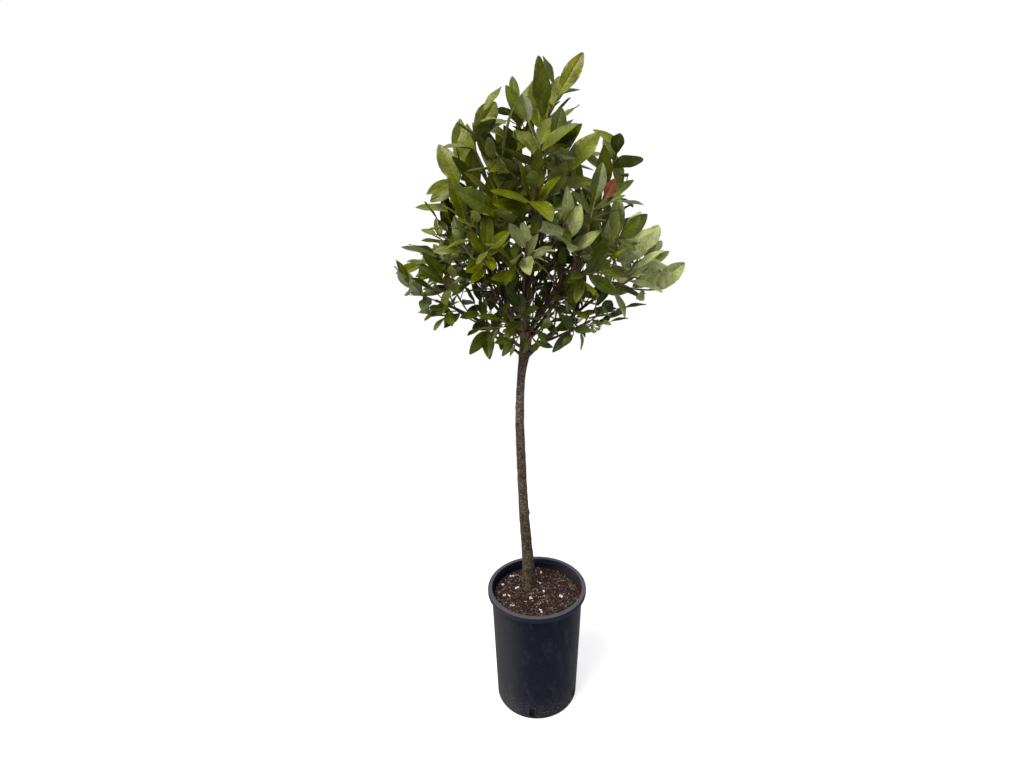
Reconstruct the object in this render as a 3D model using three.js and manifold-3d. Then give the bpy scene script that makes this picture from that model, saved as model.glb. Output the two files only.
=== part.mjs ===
// A standard bay tree in a nursery pot: a bare leaning trunk, a head of rising boughs, and leafy shoots
// that grow on from each bough. Millimetres, +Z up, the origin at the middle of the pot's flat underside,
// +X to the right and +Y to the back.
import * as THREE from "three";
import { mergeVertices } from "three/addons/utils/BufferGeometryUtils.js";
import Module from "manifold-3d";

const wasm = await Module();
wasm.setup();

// Pieces that touch keep this far apart.
const SEAM = 0.3;

// The pot: a tapered shell under a turned-down rim, with drain holes round its foot.
const POT_HEIGHT = 388;
const RIM_RADIUS = 150;
const RIM_DEPTH = 16;
const RIM_ROUND = 3;
const MOUTH_RADIUS = 139;
const BASE_RADIUS = 126;
const WALL = 2.5;
const FOOT_ROUND = 3;
const POT_SIDES = 36;
const DRAIN_HOLES = 5;
const DRAIN_WIDTH = 15;
const DRAIN_HEIGHT = 34;
const DRAIN_SILL = 5;
const DRAIN_CUT = 20;
const FIRST_DRAIN_DEG = -97;

// The potting mix, which stops short of the rim, is level round the trunk and uneven elsewhere.
const SOIL_LEVEL = 355;
const SOIL_ROUGHNESS = 4;
const SOIL_LEVEL_ROUND_TRUNK = 62;
const SOIL_RINGS = [0.7];

// The trunk: its middle line from the soil to the head, and its radius along the way.
const TRUNK_LINE = [
  [-24, 43, 340],
  [-29, 38, 465],
  [-39, 33, 620],
  [-47, 26, 830],
  [-48, 21, 960],
  [-42, 17, 1058],
  [-35, 14, 1112],
  [-30, 12, 1186],
];
const TRUNK_RADII = [21, 18.6, 16.9, 15.6, 14, 13, 12.5, 11.8, 11.3, 12.4, 14.6, 14, 12];
const TRUNK_SIDES = 10;
const TRUNK_STEPS = 18;

// The boughs: where each leaves the trunk, a point that it bends through, its tip and its end radii.
const BOUGH_SIDES = 6;
const BOUGH_STEPS = 3;
const BOUGHS = {
  bough_leader: {
    foot: [-30, 12, 1172], bend: [-26, 4, 1340], tip: [-14, -2, 1530], radii: [7.4, 4.2],
  },
  bough_right_low: {
    foot: [-36, 14, 1098], bend: [26, 2, 1166], tip: [120, -20, 1246], radii: [6.8, 4.2],
  },
  bough_right_high: {
    foot: [-30, 14, 1160], bend: [44, 36, 1280], tip: [118, 46, 1392], radii: [5.8, 3.6],
  },
  bough_right_back: {
    foot: [-28, 16, 1150], bend: [58, 96, 1240], tip: [112, 142, 1318], radii: [5.4, 3.5],
  },
  bough_right_front: {
    foot: [-28, 8, 1164], bend: [28, -62, 1256], tip: [70, -112, 1330], radii: [5.2, 3.4],
  },
  bough_right_foot: {
    foot: [-30, 12, 1128], bend: [24, -30, 1158], tip: [74, -56, 1186], radii: [4.6, 3.4],
  },
  bough_left_high: {
    foot: [-32, 12, 1170], bend: [-74, -8, 1280], tip: [-108, -18, 1392], radii: [6, 3.8],
  },
  bough_left_mid: {
    foot: [-34, 14, 1152], bend: [-104, 14, 1238], tip: [-172, 20, 1312], radii: [5.6, 3.4],
  },
  bough_left_low: {
    foot: [-36, 10, 1128], bend: [-92, -22, 1176], tip: [-150, -44, 1216], radii: [4.6, 3.4],
  },
  bough_left_foot: {
    foot: [-38, 14, 1104], bend: [-66, 22, 1130], tip: [-92, 34, 1142], radii: [4.2, 3.4],
  },
  bough_left_back: {
    foot: [-34, 18, 1158], bend: [-90, 92, 1248], tip: [-134, 142, 1330], radii: [5.4, 3.5],
  },
  bough_front_high: {
    foot: [-30, 8, 1176], bend: [-22, -60, 1290], tip: [-8, -104, 1392], radii: [5.6, 3.6],
  },
  bough_front: {
    foot: [-30, 8, 1150], bend: [-38, -56, 1236], tip: [-32, -104, 1306], radii: [4.8, 3.6],
  },
  bough_front_left: {
    foot: [-34, 8, 1160], bend: [-80, -72, 1250], tip: [-116, -122, 1322], radii: [5.2, 3.4],
  },
  bough_front_low: {
    foot: [-32, 8, 1136], bend: [-30, -52, 1168], tip: [-22, -96, 1198], radii: [4.4, 3.4],
  },
  bough_back_high: {
    foot: [-28, 18, 1176], bend: [-20, 78, 1310], tip: [-8, 104, 1440], radii: [5.8, 3.6],
  },
  bough_back: {
    foot: [-30, 18, 1152], bend: [-26, 96, 1244], tip: [-14, 142, 1330], radii: [5, 3.5],
  },
  bough_back_low: {
    foot: [-30, 20, 1136], bend: [-14, 84, 1176], tip: [4, 132, 1212], radii: [4.6, 3.4],
  },
};

// The crown's outline seen from the front: how far it reaches to the left and to the right of the pot's
// middle, at heights that are a step apart, and its depth as a share of that width.
const CROWN_FOOT = 1040;
const CROWN_STEP = 80;
const CROWN_LEFT = [110, 205, 300, 345, 375, 340, 290, 255, 220, 95, 60];
const CROWN_RIGHT = [10, 110, 190, 340, 370, 345, 265, 270, 185, 105, 110];
const CROWN_DEPTH = 0.95;

// The foliage: each mass grows from its bough's tip to its heart, and on in shoots of that many leaves.
// Spread is how far the shoots lean out, in degrees, and sag how far the leaves hang. The seed sets how
// each mass is turned on its stem and how its shoots vary.
const SEED = 254;
const FOLIAGE = {
  foliage_top: {
    bough: "bough_leader", heart: [-10, 10, 1680], shoots: 7, spread: 35,
    shoot: 130, leaves: 6, leaf: 115, sag: -0.1,
  },
  foliage_right_top: {
    bough: "bough_right_high", heart: [170, 10, 1530], shoots: 7, spread: 55,
    shoot: 120, leaves: 6, leaf: 105, sag: 0,
  },
  foliage_right: {
    bough: "bough_right_low", heart: [240, -40, 1330], shoots: 7, spread: 45,
    shoot: 120, leaves: 6, leaf: 105, sag: 0.15,
  },
  foliage_right_back: {
    bough: "bough_right_back", heart: [170, 180, 1390], shoots: 7, spread: 60,
    shoot: 110, leaves: 6, leaf: 95, sag: 0,
  },
  foliage_right_front: {
    bough: "bough_right_front", heart: [110, -150, 1420], shoots: 6, spread: 55,
    shoot: 110, leaves: 6, leaf: 85, sag: 0,
  },
  foliage_right_foot: {
    bough: "bough_right_foot", heart: [130, -80, 1220], shoots: 6, spread: 60,
    shoot: 70, leaves: 5, leaf: 75, sag: 0.5,
  },
  foliage_left_top: {
    bough: "bough_left_high", heart: [-140, -40, 1580], shoots: 7, spread: 55,
    shoot: 130, leaves: 6, leaf: 120, sag: 0,
  },
  foliage_left: {
    bough: "bough_left_mid", heart: [-240, 20, 1400], shoots: 7, spread: 55,
    shoot: 110, leaves: 6, leaf: 90, sag: 0.05,
  },
  foliage_left_low: {
    bough: "bough_left_low", heart: [-250, -70, 1270], shoots: 5, spread: 40,
    shoot: 100, leaves: 6, leaf: 85, sag: 0.35,
  },
  foliage_left_foot: {
    bough: "bough_left_foot", heart: [-120, 10, 1170], shoots: 5, spread: 65,
    shoot: 60, leaves: 5, leaf: 75, sag: 0.7,
  },
  foliage_left_back: {
    bough: "bough_left_back", heart: [-180, 200, 1400], shoots: 7, spread: 60,
    shoot: 110, leaves: 6, leaf: 95, sag: 0,
  },
  foliage_front_high: {
    bough: "bough_front_high", heart: [0, -140, 1540], shoots: 7, spread: 60,
    shoot: 120, leaves: 6, leaf: 110, sag: 0,
  },
  foliage_front: {
    bough: "bough_front", heart: [-20, -140, 1450], shoots: 5, spread: 40,
    shoot: 100, leaves: 6, leaf: 80, sag: 0,
  },
  foliage_front_left: {
    bough: "bough_front_left", heart: [-110, -150, 1430], shoots: 6, spread: 50,
    shoot: 90, leaves: 6, leaf: 85, sag: 0,
  },
  foliage_front_low: {
    bough: "bough_front_low", heart: [-30, -120, 1200], shoots: 4, spread: 60,
    shoot: 80, leaves: 4, leaf: 55, sag: 0.2,
  },
  foliage_back_high: {
    bough: "bough_back_high", heart: [-10, 150, 1590], shoots: 7, spread: 55,
    shoot: 120, leaves: 6, leaf: 105, sag: 0,
  },
  foliage_back: {
    bough: "bough_back", heart: [0, 220, 1420], shoots: 6, spread: 60,
    shoot: 120, leaves: 5, leaf: 100, sag: 0.05,
  },
  foliage_back_low: {
    bough: "bough_back_low", heart: [30, 160, 1260], shoots: 6, spread: 70,
    shoot: 110, leaves: 5, leaf: 80, sag: 0.35,
  },
};

// Stems and shoots, with three sides in the solid.
const TWIG_SIDES = 3;
const STEM_STEPS = 3;
const STEM_KNEE = 0.45;
const STEM_RADII = [4, 3.4];
const SHOOT_STEPS = 2;
const SHOOT_RADII = [1.6, 2.4, 1.8];
const SHOOT_SPAN = [0.2, 0.94];
const LAST_SHOOT = { share: 0.98, lean: 8 };
const SHOOT_KNEE = 0.5;
const SHOOT_RISE = 0.45;
const GOLDEN_DEG = 137.5;

// A leaf: a keeled blade that starts as a point in the heart of its shoot. Its width is set at each of
// these shares of its length, and the last is its tip.
const LEAF_STATIONS = [0, 0.34, 0.7, 1];
const LEAF_WIDTHS = [0, 0.94, 0.86, 0];
const LEAF_BREADTH = 0.39;
const LEAF_KEEL = 2.4;
const LEAF_SUNK = 1;
const LEAF_SPAN = [0.3, 0.9];
const LAST_LEAF = { share: 0.97, out: 12 };
const LEAF_OUT_DEG = [66, 34];
const LEAF_GROWTH = [0.8, 1.06];
const LEAF_STEP_DEG = 60;
const LEAF_TWIST_DEG = 80;
const LEAF_TRIES = [0, 35, -35, 70, -70, 110];
const LEAF_CURL = [0.15, 0.55];

// Leaves turn their faces to the light, which comes from above and in front, and along their shoot.
const LIGHT = [0.15, -0.55, 0.75];
const FACE_ALONG_SHOOT = 0.6;

// How far chance may change a size, from the low share to the high one.
const VARY_LEAN = [0.8, 1.2];
const VARY_SHOOT = [0.75, 1.15];
const VARY_LEAF = [0.86, 1.14];
const VARY_WIDTH = [0.88, 1.12];
const VARY_SAG = [0.6, 1.4];

// How far a leaf keeps from another leaf, and from a limb's or twig's bark.
const CLEAR_OF_LEAF = 4;
const CLEAR_OF_BARK = 2.5;
const TWIG_APART = 3.5;

// Shoots and blades are tested against their neighbours past these shares of their length, and blades in
// rows, at this spacing.
const SHOOT_FREE = 0.25;
const BLADE_FREE = 0.16;
const BLADE_ROWS = 10;
const BLADE_SPACING = 7;
const BARK_SPACING = 5;

// Points this close are one, and edges shorter than a sliver are folded into their neighbours.
const SAME_POINT = 1e-4;
const SLIVER = 0.05;

const UP = new THREE.Vector3(0, 0, 1);
const RIGHT = new THREE.Vector3(1, 0, 0);
const NEARLY_UPRIGHT = 0.9;
const point = (xyz) => new THREE.Vector3(...xyz);
const radians = THREE.MathUtils.degToRad;
const between = (a, b, share) => a + (b - a) * share;

// A number from 0 to 1 that depends only on its keys.
const KEY_WEIGHTS = [12.9898, 78.233, 37.719, 4.581];
const WAVE_HEIGHT = 43758.5453;
function dice(...keys) {
  const wave = WAVE_HEIGHT * Math.sin(keys.reduce((sum, key, i) => sum + key * KEY_WEIGHTS[i], 0.5));
  return wave - Math.floor(wave);
}

// The value at a share of the way along an evenly spaced list.
function along(values, share) {
  const place = Math.min(Math.max(share, 0), 1) * (values.length - 1);
  const before = Math.min(Math.floor(place), values.length - 2);
  return between(values[before], values[before + 1], place - before);
}

function solidOf(geometry) {
  const bare = new THREE.BufferGeometry();
  const loose = geometry.index ? geometry.toNonIndexed() : geometry;
  bare.setAttribute("position", loose.getAttribute("position"));
  const merged = mergeVertices(bare, SAME_POINT);
  return new wasm.Manifold(
    new wasm.Mesh({
      numProp: 3,
      vertProperties: merged.attributes.position.array,
      triVerts: new Uint32Array(merged.index.array),
    }),
  );
}

function geometryOf(solid) {
  const mesh = solid.getMesh();
  const geometry = new THREE.BufferGeometry();
  geometry.setAttribute("position", new THREE.BufferAttribute(mesh.vertProperties, 3));
  geometry.setIndex(new THREE.BufferAttribute(mesh.triVerts, 1));
  geometry.computeVertexNormals();
  return geometry;
}

const largestBody = (solid) => solid.decompose().sort((a, b) => b.volume() - a.volume())[0];

// A rod bent along a curve, with its radius given by a list. It may be grown on all sides, ends too.
function limb(curve, radii, sides, steps, grown = 0) {
  const rod = new THREE.CylinderGeometry(1, 1, 1, sides, steps);
  const { tangents, normals, binormals } = curve.computeFrenetFrames(steps);
  const position = rod.getAttribute("position");
  for (let i = 0; i < position.count; i++) {
    const step = Math.round((position.getY(i) + 0.5) * steps);
    const radius = along(radii, step / steps) + grown;
    const place = curve.getPointAt(step / steps);
    place.addScaledVector(binormals[step], position.getX(i) * radius);
    place.addScaledVector(normals[step], position.getZ(i) * radius);
    if (step === steps) place.addScaledVector(tangents[step], grown);
    position.setXYZ(i, place.x, place.y, place.z);
  }
  return solidOf(rod);
}

// What is there already, in cubes so that only near things are compared: blades, and points on limbs and
// twigs with the radius there.
const CUBE = 40;
const CUBES_ACROSS = 1000;
const blades = new Map();
const barks = new Map();

// One number for a cube. The numbers of neighbours differ by the same amounts everywhere.
const cubeNumber = (x, y, z) => (x * CUBES_ACROSS + y) * CUBES_ACROSS + z;
const NEXT = [-1, 0, 1];
const TO_NEIGHBOURS = NEXT.flatMap((x) => NEXT.flatMap((y) => NEXT.map((z) => cubeNumber(x, y, z))));

function cubesOf(points) {
  return new Set(points.map((p) => cubeNumber(...p.toArray().map((n) => Math.floor(n / CUBE)))));
}

function near(store, points) {
  const cubes = new Set();
  for (const cube of cubesOf(points)) for (const step of TO_NEIGHBOURS) cubes.add(cube + step);
  const found = new Set();
  for (const cube of cubes) for (const thing of store.get(cube) ?? []) found.add(thing);
  return found;
}

function keep(store, points, thing) {
  for (const cube of cubesOf(points)) {
    if (!store.has(cube)) store.set(cube, []);
    store.get(cube).push(thing);
  }
}

function keepBark(points, radiusAt, owner) {
  points.forEach((p, i) => keep(barks, [p], { p, owner, radius: radiusAt(i / (points.length - 1)) }));
}

// How wide half a blade is at a share of its length.
function halfWidth(leaf, share) {
  const next = Math.max(1, LEAF_STATIONS.findIndex((station) => station >= share));
  const part = (share - LEAF_STATIONS[next - 1]) / (LEAF_STATIONS[next] - LEAF_STATIONS[next - 1]);
  return (between(LEAF_WIDTHS[next - 1], LEAF_WIDTHS[next], part) * leaf.width) / 2;
}

// Whether a point lies closer to a blade than a gap, past the part that is at its root.
function isNearBlade(leaf, p, gap) {
  const offset = p.clone().sub(leaf.root);
  const share = offset.dot(leaf.heading) / leaf.length;
  if (share < BLADE_FREE || share > 1 + gap / leaf.length) return false;
  if (Math.abs(offset.dot(leaf.side)) > halfWidth(leaf, Math.min(share, 1)) + gap) return false;
  return Math.abs(offset.dot(leaf.normal) + sink(leaf, share)) < gap;
}

const sink = (leaf, share) => 0.5 * leaf.curl * leaf.length * share * share;

function leafHasRoom(leaf) {
  if (!leaf.points.every(inCrown)) return false;
  for (const { p, radius } of near(barks, leaf.points))
    if (isNearBlade(leaf, p, radius + CLEAR_OF_BARK)) return false;
  for (const other of near(blades, leaf.points)) {
    if (leaf.points.some((p) => isNearBlade(other, p, CLEAR_OF_LEAF))) return false;
    if (other.points.some((p) => isNearBlade(leaf, p, CLEAR_OF_LEAF))) return false;
  }
  return true;
}

function twigHasRoom(points, radius, owner) {
  if (!points.every(inCrown)) return false;
  for (const other of near(barks, points)) {
    const apart = radius + other.radius + TWIG_APART;
    if (other.owner !== owner && points.some((p) => p.distanceTo(other.p) < apart)) return false;
  }
  for (const other of near(blades, points))
    if (points.some((p) => isNearBlade(other, p, radius + CLEAR_OF_BARK))) return false;
  return true;
}

function inCrown(p) {
  const share = (p.z - CROWN_FOOT) / (CROWN_STEP * (CROWN_LEFT.length - 1));
  if (share < 0 || share > 1) return false;
  const left = along(CROWN_LEFT, share);
  const right = along(CROWN_RIGHT, share);
  const half = (left + right) / 2;
  return Math.hypot(p.x - (right - left) / 2, p.y / CROWN_DEPTH) < half;
}

function pot() {
  const rimFoot = POT_HEIGHT - RIM_DEPTH;
  const under = POT_HEIGHT - WALL;
  const underRadius = between(BASE_RADIUS, MOUTH_RADIUS, under / POT_HEIGHT);
  const profile = [
    [0, 0],
    [BASE_RADIUS - FOOT_ROUND, 0],
    [BASE_RADIUS, FOOT_ROUND],
    [underRadius, under],
    [RIM_RADIUS - WALL, under],
    [RIM_RADIUS - WALL, rimFoot],
    [RIM_RADIUS, rimFoot],
    [RIM_RADIUS, POT_HEIGHT - RIM_ROUND],
    [RIM_RADIUS - RIM_ROUND, POT_HEIGHT],
    [underRadius - WALL, POT_HEIGHT],
    [BASE_RADIUS - WALL, WALL],
    [0, WALL],
  ];
  const turned = new THREE.LatheGeometry(profile.map(([r, z]) => new THREE.Vector2(r, z)), POT_SIDES);
  let shell = solidOf(turned.rotateX(Math.PI / 2));
  for (let i = 0; i < DRAIN_HOLES; i++) {
    const cutter = new THREE.BoxGeometry(DRAIN_CUT, DRAIN_WIDTH, DRAIN_HEIGHT);
    cutter.translate(BASE_RADIUS, 0, DRAIN_SILL + DRAIN_HEIGHT / 2);
    cutter.rotateZ(radians(FIRST_DRAIN_DEG + (i * 360) / DRAIN_HOLES));
    shell = shell.subtract(solidOf(cutter));
  }
  return shell;
}

function soil(trunkFoot) {
  const inner = (z) => between(BASE_RADIUS, MOUTH_RADIUS, z / POT_HEIGHT) - WALL - SEAM * 2;
  const bottom = WALL + SEAM;
  const top = SOIL_LEVEL - SEAM;
  const profile = [[0, bottom], [inner(bottom), bottom], [inner(top), top]];
  for (const share of SOIL_RINGS) profile.push([inner(top) * share, top]);
  profile.push([0, top]);
  const turned = new THREE.LatheGeometry(profile.map(([r, z]) => new THREE.Vector2(r, z)), POT_SIDES);
  turned.rotateX(Math.PI / 2);
  const position = turned.getAttribute("position");
  for (let i = 0; i < position.count; i++) {
    const p = new THREE.Vector3().fromBufferAttribute(position, i);
    const fromTrunk = Math.hypot(p.x - trunkFoot.x, p.y - trunkFoot.y);
    const isOnTop = p.z > top / 2;
    const rise = between(-SOIL_ROUGHNESS, SOIL_ROUGHNESS, dice(Math.round(p.x), Math.round(p.y)));
    if (isOnTop && fromTrunk > SOIL_LEVEL_ROUND_TRUNK) position.setZ(i, top + rise);
  }
  return solidOf(turned);
}

// A smooth line from just past a bough's tip that sets off the way the bough points and ends at the heart.
function stemLine(bough, heart) {
  const heading = bough.getTangent(1);
  const start = bough.getPoint(1).addScaledVector(heading, SEAM);
  const knee = start.clone().addScaledVector(heading, start.distanceTo(heart) * STEM_KNEE);
  return new THREE.QuadraticBezierCurve3(start, knee, heart);
}

// A direction that leans out from an axis by lean degrees, turned round it by turn degrees.
function leaning(axis, lean, turn) {
  const side = new THREE.Vector3().crossVectors(axis, Math.abs(axis.z) < NEARLY_UPRIGHT ? UP : RIGHT);
  side.normalize().applyAxisAngle(axis, radians(turn));
  return axis.clone().applyAxisAngle(side, radians(lean));
}

// A shoot bends upwards from the way that it sets off.
function shootLine(start, heading, length) {
  const knee = start.clone().addScaledVector(heading, length * SHOOT_KNEE);
  const rising = heading.clone().addScaledVector(UP, SHOOT_RISE).normalize();
  const tip = knee.clone().addScaledVector(rising, length * (1 - SHOOT_KNEE));
  return new THREE.QuadraticBezierCurve3(start, knee, tip);
}

// A leaf's root, its way out, the side and normal of its blade, and its size.
function leafAt(place, heading, shootHeading, length, keys) {
  const face = shootHeading.clone().multiplyScalar(FACE_ALONG_SHOOT).add(point(LIGHT));
  const side = new THREE.Vector3().crossVectors(heading, face).normalize();
  side.applyAxisAngle(heading, radians(between(-0.5, 0.5, dice(...keys, 5)) * LEAF_TWIST_DEG));
  const normal = new THREE.Vector3().crossVectors(side, heading).normalize();
  const width = length * LEAF_BREADTH * between(...VARY_WIDTH, dice(...keys, 8));
  const curl = between(...LEAF_CURL, dice(...keys, 7));
  const root = place.addScaledVector(heading, -LEAF_SUNK);
  const leaf = { root, heading, side, normal, length, width, curl };
  return Object.assign(leaf, { points: bladePoints(leaf) });
}

function onLeaf(leaf, share, across, lift = 0) {
  const p = leaf.root.clone().addScaledVector(leaf.heading, leaf.length * share);
  return p.addScaledVector(leaf.normal, lift - sink(leaf, share)).addScaledVector(leaf.side, across);
}

function bladePoints(leaf) {
  const points = [];
  for (let row = 0; row < BLADE_ROWS; row++) {
    const share = between(BLADE_FREE, 1, row / (BLADE_ROWS - 1));
    const half = halfWidth(leaf, share);
    const columns = Math.ceil(half / BLADE_SPACING);
    const step = half / Math.max(columns, 1);
    for (let i = -columns; i <= columns; i++) points.push(onLeaf(leaf, share, step * i));
  }
  return points;
}

function linePoints(curve) {
  return curve.getPoints(Math.ceil(curve.getLength() / BARK_SPACING));
}

// Grows one mass on its stem: shoots that leave the stem at the golden angle, and leaves that leave each
// shoot the same way. A leaf turns until it has room, and what finds none is left out.
function grow(spec, index, stem) {
  const twigs = [{ line: stem, radii: STEM_RADII, steps: STEM_STEPS }];
  const leaves = [];
  for (let i = 0; i < spec.shoots; i++) {
    const shoot = growShoot(spec, index, i, stem);
    const points = linePoints(shoot);
    if (!twigHasRoom(points.slice(Math.floor(points.length * SHOOT_FREE)), SHOOT_RADII[0], index)) continue;
    keepBark(points, (share) => along(SHOOT_RADII, share), index);
    twigs.push({ line: shoot, radii: SHOOT_RADII, steps: SHOOT_STEPS });
    for (let j = 0; j < spec.leaves; j++) {
      const leaf = growLeaf(spec, [index, i, j], shoot);
      if (!leaf) continue;
      keep(blades, leaf.points, leaf);
      leaves.push(leaf);
    }
  }
  return { twigs, leaves };
}

// How far a mass is turned round its stem, in degrees.
const turnOf = (index) => 360 * dice(index, SEED);

function growShoot(spec, index, i, stem) {
  const isLast = i === spec.shoots - 1;
  const share = isLast ? LAST_SHOOT.share : between(...SHOOT_SPAN, i / (spec.shoots - 1));
  const spread = spec.spread * between(...VARY_LEAN, dice(index, i, 1, SEED));
  const lean = isLast ? LAST_SHOOT.lean : spread;
  const heading = leaning(stem.getTangent(share), lean, turnOf(index) + i * GOLDEN_DEG);
  const length = spec.shoot * between(...VARY_SHOOT, dice(index, i, 2, SEED));
  return shootLine(stem.getPoint(share), heading, length);
}

function growLeaf(spec, [index, i, j], shoot) {
  const keys = [index, i, j];
  const isLast = j === spec.leaves - 1;
  const share = isLast ? LAST_LEAF.share : between(...LEAF_SPAN, j / (spec.leaves - 1));
  const shootHeading = shoot.getTangent(share);
  const spread = between(...LEAF_OUT_DEG, share) * between(...VARY_LEAN, dice(...keys, 1));
  const lean = isLast ? LAST_LEAF.out : spread;
  const sag = spec.sag * between(...VARY_SAG, dice(...keys, 2));
  const length = spec.leaf * between(...LEAF_GROWTH, share) * between(...VARY_LEAF, dice(...keys, 3));
  for (const turned of LEAF_TRIES) {
    const turn = turnOf(index) + j * GOLDEN_DEG + i * LEAF_STEP_DEG + turned;
    const heading = leaning(shootHeading, lean, turn).addScaledVector(UP, -sag).normalize();
    const leaf = leafAt(shoot.getPoint(share), heading, shootHeading, length, keys);
    if (leafHasRoom(leaf)) return leaf;
  }
  return null;
}

// A cone of three sides, flattened to a blade with two edges and with its keel underneath.
function leafSolid(leaf) {
  const rings = LEAF_STATIONS.length - 1;
  const cone = new THREE.ConeGeometry(1, 1, 3, rings);
  const position = cone.getAttribute("position");
  for (let i = 0; i < position.count; i++) {
    const ring = Math.round((position.getY(i) + 0.5) * rings);
    const isKeel = ring > 0 && ring < rings && position.getZ(i) > 0;
    const edge = -Math.sign(Math.round(position.getX(i) * rings));
    const across = edge * halfWidth(leaf, LEAF_STATIONS[ring]);
    const p = onLeaf(leaf, LEAF_STATIONS[ring], across, isKeel ? -LEAF_KEEL : 0);
    position.setXYZ(i, p.x, p.y, p.z);
  }
  return solidOf(cone);
}

function foliageSolid({ twigs, leaves }) {
  const rods = twigs.map(({ line, radii, steps }) => limb(line, radii, TWIG_SIDES, steps));
  return largestBody(wasm.Manifold.union([...rods, ...leaves.map(leafSolid)])).simplify(SLIVER);
}

const COLOURS = {
  pot: new THREE.MeshStandardMaterial({ color: 0x23252c, roughness: 0.55, metalness: 0 }),
  soil: new THREE.MeshStandardMaterial({ color: 0x4a3830, roughness: 1, metalness: 0 }),
  bark: new THREE.MeshStandardMaterial({ color: 0x4c4238, roughness: 0.9, metalness: 0 }),
  foliage: new THREE.MeshStandardMaterial({ color: 0x5a641a, roughness: 0.5, metalness: 0 }),
};

const tree = new THREE.Group();
tree.name = "standard_bay";

function add(name, solid, material) {
  const mesh = new THREE.Mesh(geometryOf(solid), material);
  mesh.name = name;
  tree.add(mesh);
}

const trunkLine = new THREE.CatmullRomCurve3(TRUNK_LINE.map(point), false, "catmullrom", 0.5);
keepBark(linePoints(trunkLine), (share) => along(TRUNK_RADII, share), "trunk");

add("pot", pot(), COLOURS.pot);
add("potting_mix", soil(point(TRUNK_LINE[0])), COLOURS.soil);
const wholeTrunk = limb(trunkLine, TRUNK_RADII, TRUNK_SIDES, TRUNK_STEPS);
add("trunk", wholeTrunk.trimByPlane([0, 0, 1], SOIL_LEVEL), COLOURS.bark);

// Each bough is cut clear of the trunk and of the boughs before it.
let limbs = limb(trunkLine, TRUNK_RADII, TRUNK_SIDES, TRUNK_STEPS, SEAM);
const boughLines = {};
for (const [name, { foot, bend, tip, radii }] of Object.entries(BOUGHS)) {
  const line = new THREE.QuadraticBezierCurve3(point(foot), point(bend), point(tip));
  add(name, largestBody(limb(line, radii, BOUGH_SIDES, BOUGH_STEPS).subtract(limbs)), COLOURS.bark);
  limbs = limbs.add(limb(line, radii, BOUGH_SIDES, BOUGH_STEPS, SEAM));
  keepBark(linePoints(line), (share) => along(radii, share), name);
  boughLines[name] = line;
}

// Every stem has its place before any leaf grows.
const stems = Object.entries(FOLIAGE).map(([name, spec], index) => {
  const line = stemLine(boughLines[spec.bough], point(spec.heart));
  keepBark(linePoints(line), (share) => along(STEM_RADII, share), index);
  return { name, spec, index, line };
});
for (const { name, spec, index, line } of stems)
  add(name, foliageSolid(grow(spec, index, line)), COLOURS.foliage);

export default tree;
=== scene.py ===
import math

import bpy
import numpy as np
from mathutils import Matrix, Vector, noise


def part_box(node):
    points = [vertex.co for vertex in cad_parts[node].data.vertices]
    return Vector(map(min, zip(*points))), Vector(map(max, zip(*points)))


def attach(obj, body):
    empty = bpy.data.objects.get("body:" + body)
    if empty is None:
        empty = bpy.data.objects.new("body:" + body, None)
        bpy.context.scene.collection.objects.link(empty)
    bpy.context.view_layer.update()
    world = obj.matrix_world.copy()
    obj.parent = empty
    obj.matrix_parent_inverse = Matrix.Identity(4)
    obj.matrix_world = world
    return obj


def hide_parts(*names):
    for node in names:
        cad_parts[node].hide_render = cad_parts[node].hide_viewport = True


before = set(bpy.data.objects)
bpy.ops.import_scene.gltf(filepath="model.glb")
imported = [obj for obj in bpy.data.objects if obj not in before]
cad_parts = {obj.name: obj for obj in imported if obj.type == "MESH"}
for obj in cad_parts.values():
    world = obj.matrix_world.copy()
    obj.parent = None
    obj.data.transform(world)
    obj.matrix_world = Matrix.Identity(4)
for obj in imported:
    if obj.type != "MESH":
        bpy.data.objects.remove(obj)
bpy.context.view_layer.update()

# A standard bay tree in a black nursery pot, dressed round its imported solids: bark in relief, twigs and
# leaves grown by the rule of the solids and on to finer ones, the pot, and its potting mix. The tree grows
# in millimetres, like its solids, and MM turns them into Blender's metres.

MM = 0.001
UP = np.array([0.0, 0.0, 1.0])
RIGHT = np.array([1.0, 0.0, 0.0])
NEARLY_UPRIGHT = 0.9

# The camera, level with the crown's middle and looking down at the pot.
CAMERA_AT = (0, -1.440, 1.478)
CAMERA_DOWN_DEG = 17.2
CAMERA_FOCAL_PX = 554
CAMERA_MIDDLE_PX = 537
PICTURE_PX = (1024, 768)
SENSOR_MM = 36

# The light: a broad sun from the upper left, a soft sky, and a pale floor that shows almost white.
SUN_STRENGTH = 3.4
SUN_WIDTH_DEG = 30
SUN_COLOUR = (255, 249, 238)
SUN_FROM = (-0.62, -0.62, 1.25)
SKY_OVERHEAD = 1.1
SKY_LEVEL = 0.42
SKY_BELOW = 0.1
SKY_BELOW_FROM = -0.25
SKY_COLOUR = (250, 251, 255)
FLOOR_RADIUS = 1.6
FLOOR_SIDES = 96
FLOOR_DROP = 0.0004
FLOOR_COLOUR = 0.45
FLOOR_GLOW = 0.6

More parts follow.
